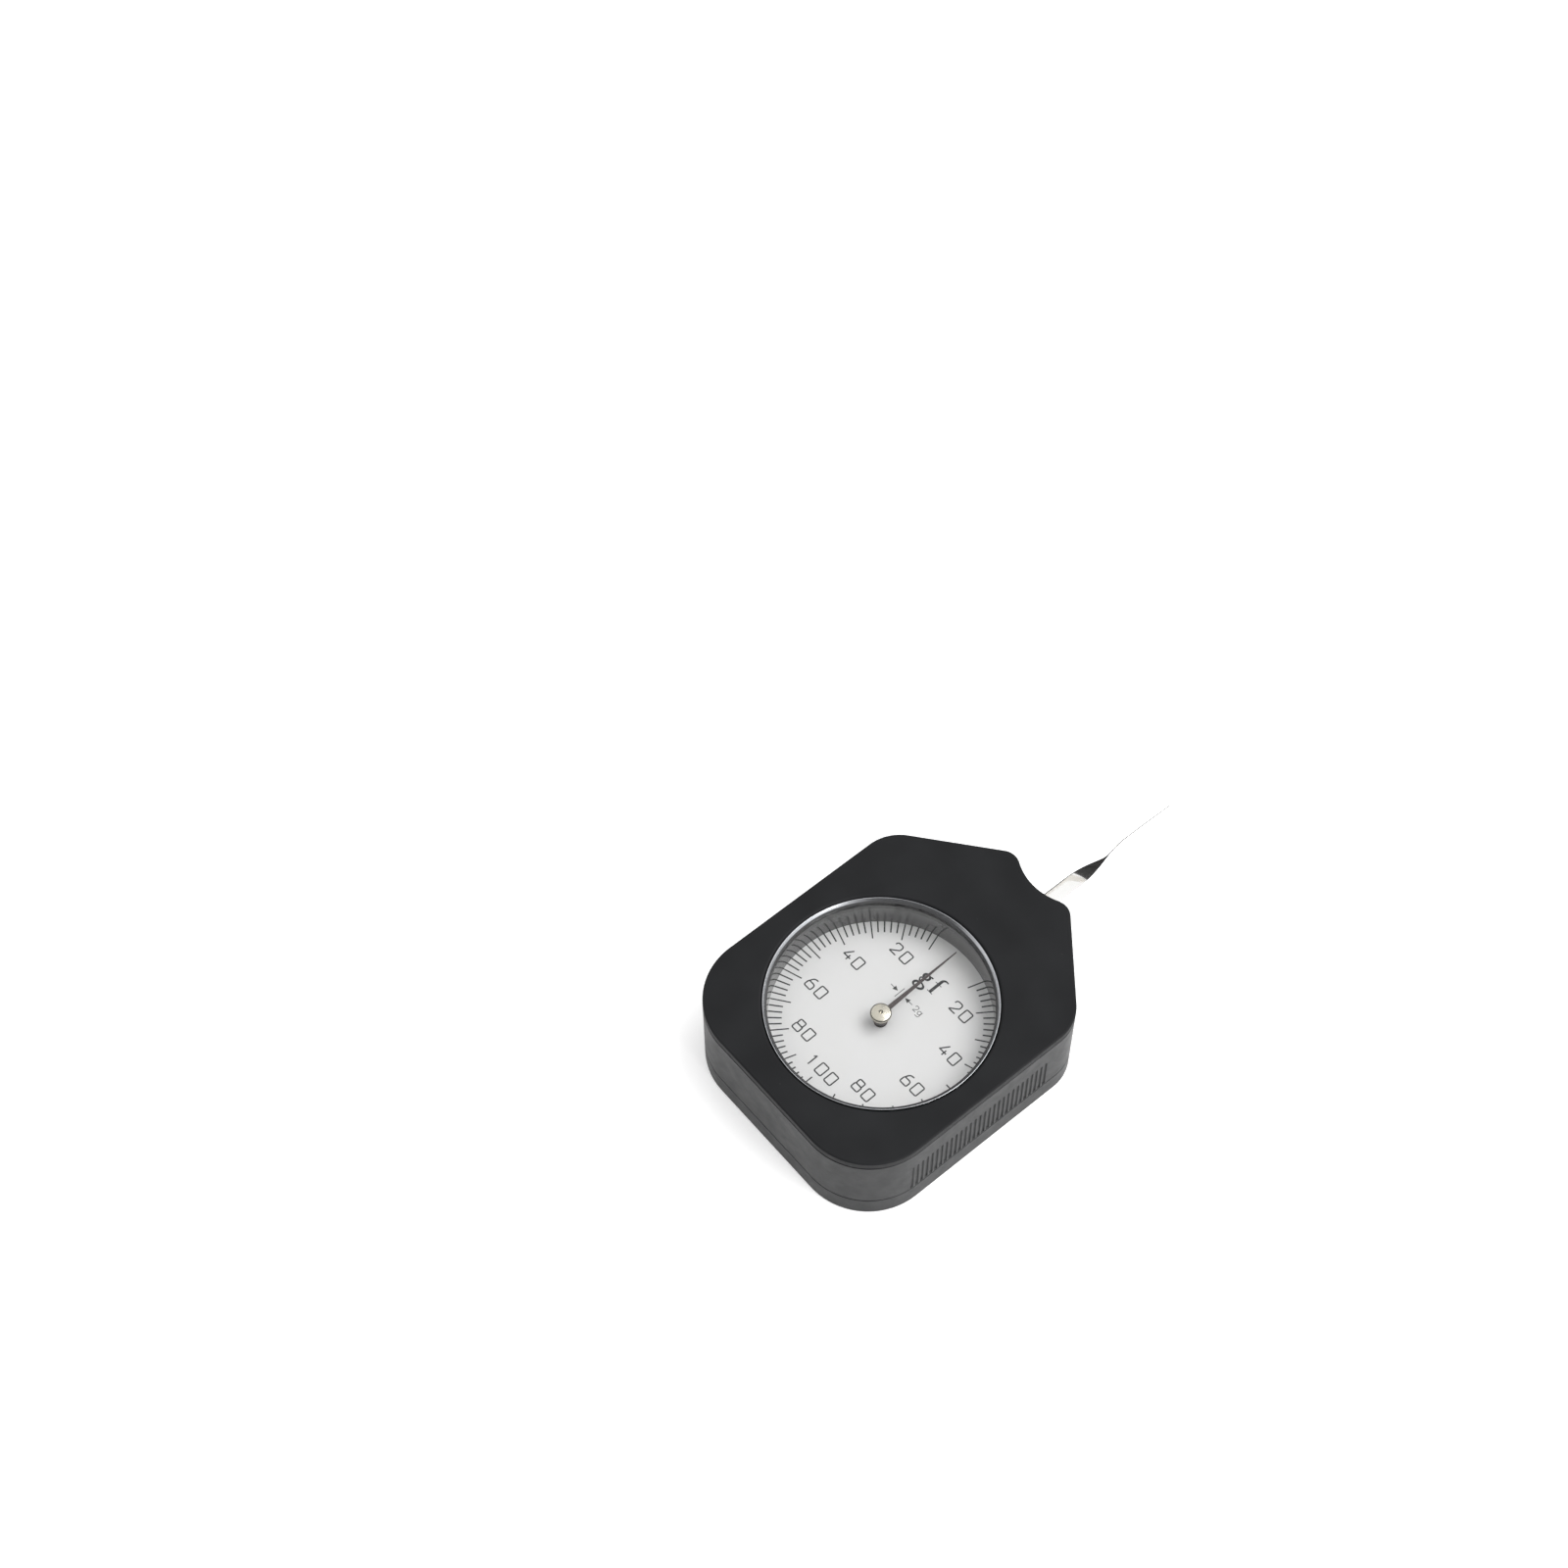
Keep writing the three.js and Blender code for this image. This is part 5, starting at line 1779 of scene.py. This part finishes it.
@dataclass
class FeelerStrip:
    """The polished strip that leaves the notch and turns a quarter turn on its way to the tip."""

    width: float = 3.4 * MM
    tip_width: float = 2.6 * MM
    thickness: float = 0.6 * MM
    corner: float = 0.27 * MM
    eye_edge: float = 0.12 * MM
    twist_start: float = 44.8 * MM
    twist_length: float = 13.6 * MM
    tip_taper: float = 8 * MM
    eye_radius: float = 3.4 * MM
    eye_hole: float = 1.6 * MM
    overrun: float = 1.0 * MM
    soft_share: float = 0.9
    steps: int = 150
    corner_steps: int = 6
    tip_steps: int = 4

    def section(self, y: float, middle: float, tip: float) -> Ring:
        """The strip's rounded section at some distance along it.

        Args:
            y: Distance along the strip.
            middle: Height of its middle line.
            tip: Where it ends.

        Returns:
            The ring of points.
        """
        taper = smoothstep(y, tip - self.tip_taper, tip)
        end = math.sqrt(max(1 - max((y - tip + self.corner) / self.corner, 0) ** 2, 0))
        half = (self.width + (self.tip_width - self.width) * taper) / 2 - self.corner * (1 - end)
        flat = self.thickness / 2 - self.corner * (1 - end) * self.soft_share
        turn = math.pi / 2 * smoothstep(y, self.twist_start, self.twist_start + self.twist_length)
        soft = min(self.corner, flat * self.soft_share)
        outline = rounded_path([
            (-half, -flat, soft), (half, -flat, soft), (half, flat, soft), (-half, flat, soft),
        ], closed=True, steps=self.corner_steps)
        cos, sin = math.cos(turn), math.sin(turn)
        return [Vector((x * cos - z * sin, y, middle + x * sin + z * cos)) for x, z in outline]

    def build(self, palette: Palette) -> None:
        """Build and seat the strip with its eye round the arbor.

        Args:
            palette: The finishes.
        """
        low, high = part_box("feeler")
        arbor_low, arbor_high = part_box("feeler_arbor")
        pivot = (arbor_low.y + arbor_high.y) / 2
        middle = (low.z + high.z) / 2
        tip = high.y
        ys = [pivot + (tip - self.corner - pivot) * i / self.steps for i in range(self.steps + 1)]
        rounds = [math.pi / 2 * i / self.tip_steps for i in range(1, self.tip_steps + 1)]
        ys += [tip - self.corner * (1 - math.sin(a)) for a in rounds]
        draft = Draft()
        draft.skin([self.section(y, middle, tip) for y in ys], flat_ends=True)
        strip = draft.piece("feeler_strip")
        bottom, top = middle - self.thickness / 2, middle + self.thickness / 2
        reach, edge = self.eye_radius, self.eye_edge
        eye = Draft()
        eye.turned([
            (0, bottom), (reach - edge, bottom), (reach, bottom + edge),
            (reach, top - edge), (reach - edge, top), (0, top),
        ], HUB_SIDES, (0, pivot))
        work_in(strip, eye, Join.ADD)
        hole = Draft()
        hole.plug(self.eye_hole, (bottom - self.overrun, top + self.overrun), (0, pivot))
        work_in(strip, hole, Join.CUT)
        seat(strip, Body.FEELER, palette.feeler, "feeler")


@dataclass
class CaseScrews:
    """The four sunk screws of the back, each with a domed head and a tapered crossed recess."""

    FLAT_SHARE = 0.35
    POINT_SHARES = (0.8, 0.4)
    RECESS_SHARES = (1.1, 1.0, 0.55)

    head_radius: float = 1.9 * MM
    head_height: float = 1.2 * MM
    head_round: float = 0.45 * MM
    dome: float = 0.12 * MM
    shank_radius: float = 1.0 * MM
    recess_reach: float = 1.15 * MM
    recess_width: float = 0.52 * MM
    recess_depth: float = 0.75 * MM
    thread_pitch: float = 0.8 * MM
    thread_depth: float = 0.12 * MM
    point_length: float = 0.3 * MM
    overrun: float = 1.0 * MM

    def screw(self, name: str, node: str) -> bpy.types.Object:
        """One screw in place of a node of the frame.

        Args:
            name: Name of the piece.
            node: The node that it stands for.

        Returns:
            The screw.
        """
        low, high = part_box(node)
        centre = ((low.x + high.x) / 2, (low.y + high.y) / 2)
        under = low.z + self.head_height
        head = rounded_path([
            (self.head_radius * self.FLAT_SHARE, low.z, 0),
            (self.head_radius, low.z + self.dome, self.head_round),
            (self.head_radius, under, 0), (self.shank_radius, under, 0),
        ], closed=False)
        turns = int((high.z - under - self.thread_pitch) / self.thread_pitch)
        ridges = [
            (self.shank_radius - self.thread_depth * (k % 2), under + self.thread_pitch * (k + 1) / 2)
            for k in range(2 * turns)
        ]
        neck, end = (self.shank_radius * share for share in self.POINT_SHARES)
        screw = turned_piece(name, [
            (0, low.z), *head, *ridges, (neck, high.z - self.point_length), (end, high.z), (0, high.z),
        ], SCREW_SIDES, centre)
        for along in (Vector((1, 0)), Vector((0, 1))):
            work_in(screw, self.recess(centre, along, low.z), Join.CUT)
        return screw

    def recess(self, centre: Point, along: Vector, face: float) -> Draft:
        """One arm of the crossed recess, narrower at its floor.

        Args:
            centre: Where the screw's axis stands.
            along: Direction of the arm.
            face: Height of the head's face.

        Returns:
            The draft that holds the tool.
        """
        across = Vector((-along.y, along.x))
        rings: list[Ring] = []
        heights = (face - self.overrun, face, face + self.recess_depth)
        for height, share in zip(heights, self.RECESS_SHARES):
            reach = along * self.recess_reach * share
            half = across * self.recess_width / 2 * share
            corners = (reach + half, half - reach, -reach - half, reach - half)
            rings.append([Vector((centre[0] + c.x, centre[1] + c.y, height)) for c in corners])
        draft = Draft()
        draft.skin(rings, flat_ends=True)
        return draft

    def build(self, palette: Palette) -> None:
        """Build and seat the screws.

        Args:
            palette: The finishes.
        """
        nodes = sorted(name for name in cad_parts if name.startswith("case_screw"))
        for number, node in enumerate(nodes, 1):
            seat(self.screw(f"back_screw_{number}", node), Body.CASE, palette.screw, node)


class Movement:
    """The works inside the case, which keep their own solids and get their finishes here."""

    BRASS = (
        "lower_plate", "upper_plate", "pillar", "sector_gear", "pinion", "feeler_hub", "feeler_nut",
        "hairspring_collet", "hairspring_stud", "measuring_spring_collet", "measuring_spring_stud",
    )
    STEEL = ("pointer_arbor", "feeler_arbor", "stop_pin")
    SCREWS = ("plate_screw", "movement_screw")
    SPRINGS = ("hairspring", "measuring_spring")
    BUSHES = ("bush",)

    def finishes(self, palette: Palette) -> dict[str, Finish]:
        """The finish of each inner piece, by the start of its name.

        Args:
            palette: The finishes.

        Returns:
            The finishes by the start of a name.
        """
        kinds = (
            (self.BRASS, palette.brass), (self.STEEL, palette.arbor), (self.SCREWS, palette.screw),
            (self.SPRINGS, palette.spring), (self.BUSHES, palette.bush),
        )
        return {start: finish for starts, finish in kinds for start in starts}

    def build(self, palette: Palette) -> None:
        """Dress every node of the frame that still shows.

        Args:
            palette: The finishes.
        """
        finishes = self.finishes(palette)
        for name, node in sorted(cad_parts.items()):
            if node.hide_render:
                continue
            start = max((key for key in finishes if name.startswith(key)), key=len)
            finishes[start].dress(node)
            LOG.info("%s keeps its solid and gets %s", name, finishes[start].name)


@dataclass(frozen=True)
class SoftBox:
    """One soft oblong lamp that faces the gauge."""

    name: str
    place: Corner
    size: Point
    power: float

    def hang(self) -> None:
        """Hang the lamp."""
        data = bpy.data.lights.new(self.name, "AREA")
        data.shape, data.energy = "RECTANGLE", self.power
        data.size, data.size_y = self.size
        lamp = bpy.data.objects.new(self.name, data)
        bpy.context.scene.collection.objects.link(lamp)
        turn = Vector(self.place).to_track_quat("Z", "Y").to_matrix().to_4x4()
        lamp.matrix_world = Matrix.Translation(self.place) @ turn


@dataclass(frozen=True)
class Card:
    """A card beside the strip, which only gloss mirrors.

    Its outline is in millimetres: (x, y) where it lies on the floor, and (y, z) where it stands
    upright across the X axis.
    """

    name: str
    colour: Corner
    outline: tuple[Point, ...]
    plane: float | None = None
    thickness: float = 1.0 * MM
    lift: float = 0.2 * MM
    grain: float = 3 * MM
    roughness: Point = (0.8, 0.9)

    def sides(self) -> list[Ring]:
        """The two faces of the card.

        Returns:
            The points of each face.
        """
        if self.plane is None:
            heights = (self.lift, self.thickness)
            return [[Vector((x * MM, y * MM, height)) for x, y in self.outline] for height in heights]
        planes = (self.plane - self.thickness, self.plane)
        return [[Vector((x, y * MM, z * MM)) for y, z in self.outline] for x in planes]

    def set_up(self) -> None:
        """Set up the card."""
        draft = Draft()
        draft.skin(self.sides(), flat_ends=True)
        card = draft.piece(self.name)
        shader = Shader(self.name + "_paper")
        grain = shader.noise(self.grain, detail=2)
        shader.set(Base_Color=(*self.colour, 1), Roughness=shader.spread(grain, *self.roughness))
        card.data.materials.append(shader.material)
        card.visible_camera = card.visible_diffuse = card.visible_shadow = card.visible_transmission = False
        card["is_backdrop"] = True


@dataclass
class Studio:
    """Pale floor, soft light and the camera at the photograph's angle."""

    # Sockets of a node that mixes two numbers
    MIX_SHARE, MIX_FIRST, MIX_SECOND = 0, 2, 3

    # Darkness round the strip: outlines in millimetres
    BLACK = (0.006, 0.006, 0.006)
    GREY = (0.4, 0.385, 0.36)
    FLAT_OUTLINE = ((-45, 38), (-3, 38), (-3, 120), (-45, 120))
    SLOPE_OUTLINE = ((46, 0), (122, 0), (122, 12), (93, 34), (76, 57), (61, 88), (52, 102), (46, 102))
    OVAL_MIDDLE = (87, 84)
    OVAL_REACH = (15, 20)
    OVAL_SIDES = 24

    camera_place: Corner = (0.183378, -0.173574, 0.509011)
    azimuth: float = math.radians(50.30)
    elevation: float = math.radians(58.87)
    roll: float = math.radians(-0.45)
    lens: float = 73.55
    sensor: float = 36.0
    clip: Point = (0.01, 20.0)
    floor_half: float = 3.0
    floor_thickness: float = 1.0 * MM
    floor_gap: float = 0.05 * MM
    floor_colour: Corner = (0.9, 0.9, 0.9)
    floor_glow: float = 0.25
    floor_grain: float = 2 * MM
    floor_gloss: float = 0.2
    floor_roughness: Point = (0.7, 0.8)
    sky_colour: Corner = (1.0, 1.0, 1.0)
    sky_strength: float = 0.95
    mirrored_strength: float = 1.15
    dark_side: Corner = (0.37, -0.83, 0.42)
    dark_edge: Point = (0.55, 0.85)
    dark_share: float = 0.12
    lamps: tuple[SoftBox, ...] = (
        SoftBox("overhead_softbox", place=(0.35, 0.6, 1.2), size=(1.0, 0.9), power=13),
        SoftBox("side_softbox", place=(0.92, 0.12, 0.52), size=(0.55, 0.4), power=7),
    )

    def camera(self) -> None:
        """Set up the camera."""
        data = bpy.data.cameras.new("camera")
        data.lens, data.sensor_width, data.sensor_fit = self.lens, self.sensor, "HORIZONTAL"
        data.clip_start, data.clip_end = self.clip
        camera = bpy.data.objects.new("camera", data)
        bpy.context.scene.collection.objects.link(camera)
        flat = math.cos(self.elevation)
        back = Vector((
            math.sin(self.azimuth) * flat, -math.cos(self.azimuth) * flat, math.sin(self.elevation),
        ))
        right = Vector((math.cos(self.azimuth), math.sin(self.azimuth), 0))
        right.rotate(Matrix.Rotation(self.roll, 3, back))
        up = back.cross(right)
        turn = Matrix((right, up, back)).transposed().to_4x4()
        camera.matrix_world = Matrix.Translation(self.camera_place) @ turn
        bpy.context.scene.camera = camera

    def floor(self) -> None:
        """Lay the floor."""
        half, top = self.floor_half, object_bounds()[0][2] - self.floor_gap
        draft = Draft()
        square = [(-half, -half), (half, -half), (half, half), (-half, half)]
        draft.slab(square, top - self.floor_thickness, top)
        floor = draft.piece("floor")
        shader = Shader("pale_floor")
        shader.set(
            Base_Color=(*self.floor_colour, 1),
            Roughness=shader.spread(shader.noise(self.floor_grain), *self.floor_roughness),
            Specular_IOR_Level=self.floor_gloss,
            Emission_Color=(1, 1, 1, 1),
            Emission_Strength=self.floor_glow,
        )
        floor.data.materials.append(shader.material)
        floor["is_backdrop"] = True

    def sky(self) -> None:
        """Light the room evenly, but let gloss mirror its darker front."""
        world = bpy.data.worlds.new("room")
        world.use_nodes = True
        tree = world.node_tree
        background = tree.nodes["Background"]
        background.inputs["Color"].default_value = (*self.sky_colour, 1)
        towards = tree.nodes.new("ShaderNodeTexCoord").outputs["Generated"]
        facing = tree.nodes.new("ShaderNodeVectorMath")
        facing.operation = "DOT_PRODUCT"
        facing.inputs[1].default_value = Vector(self.dark_side).normalized()
        tree.links.new(towards, facing.inputs[0])
        fade = tree.nodes.new("ShaderNodeMapRange")
        for name, value in (
            ("From Min", self.dark_edge[0]), ("From Max", self.dark_edge[1]),
            ("To Min", self.mirrored_strength), ("To Max", self.mirrored_strength * self.dark_share),
        ):
            fade.inputs[name].default_value = value
        tree.links.new(facing.outputs["Value"], fade.inputs["Value"])
        is_mirrored = tree.nodes.new("ShaderNodeLightPath").outputs["Is Glossy Ray"]
        choice = tree.nodes.new("ShaderNodeMix")
        tree.links.new(is_mirrored, choice.inputs[self.MIX_SHARE])
        choice.inputs[self.MIX_FIRST].default_value = self.sky_strength
        tree.links.new(fade.outputs["Result"], choice.inputs[self.MIX_SECOND])
        tree.links.new(choice.outputs[0], background.inputs["Strength"])
        bpy.context.scene.world = world

    def cards(self) -> list[Card]:
        """The dark and the grey cards that the strip mirrors.

        Returns:
            The cards.
        """
        turns = [2 * math.pi * i / self.OVAL_SIDES for i in range(self.OVAL_SIDES)]
        (along, up), (wide, high) = self.OVAL_MIDDLE, self.OVAL_REACH
        oval = tuple((along + wide * math.cos(t), up + high * math.sin(t)) for t in turns)
        return [
            Card("dark_card_flat", self.BLACK, self.FLAT_OUTLINE),
            Card("dark_card_upright", self.BLACK, self.SLOPE_OUTLINE, plane=-45 * MM),
            Card("grey_card", self.GREY, oval, plane=-47 * MM),
        ]

    def build(self) -> None:
        """Set up everything round the gauge."""
        self.camera()
        self.floor()
        self.sky()
        for card in self.cards():
            card.set_up()
        for lamp in self.lamps:
            lamp.hang()
        bpy.context.scene.view_settings.view_transform = "Standard"


def main() -> None:
    """Build the studio and every sub-assembly in order."""
    logging.basicConfig(level=logging.INFO, format="%(name)s: %(message)s", stream=sys.stdout)
    palette = Palette()
    Studio().build()
    low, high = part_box("front_cover")
    outline = CaseOutline(half_width=high.x, bottom_reach=-low.y)
    seat(FrontCover(outline).build(), Body.CASE, palette.cover, "front_cover")
    seat(MidCase(outline).build(), Body.CASE, palette.plastic, "mid_case")
    seat(RearCover(outline).build(), Body.CASE, palette.plastic, "rear_cover")
    DialWindow().build(palette)
    DialFace().build(palette)
    PointerParts().build(palette)
    FeelerStrip().build(palette)
    CaseScrews().build(palette)
    Movement().build(palette)


if __name__ == "__main__":
    main()
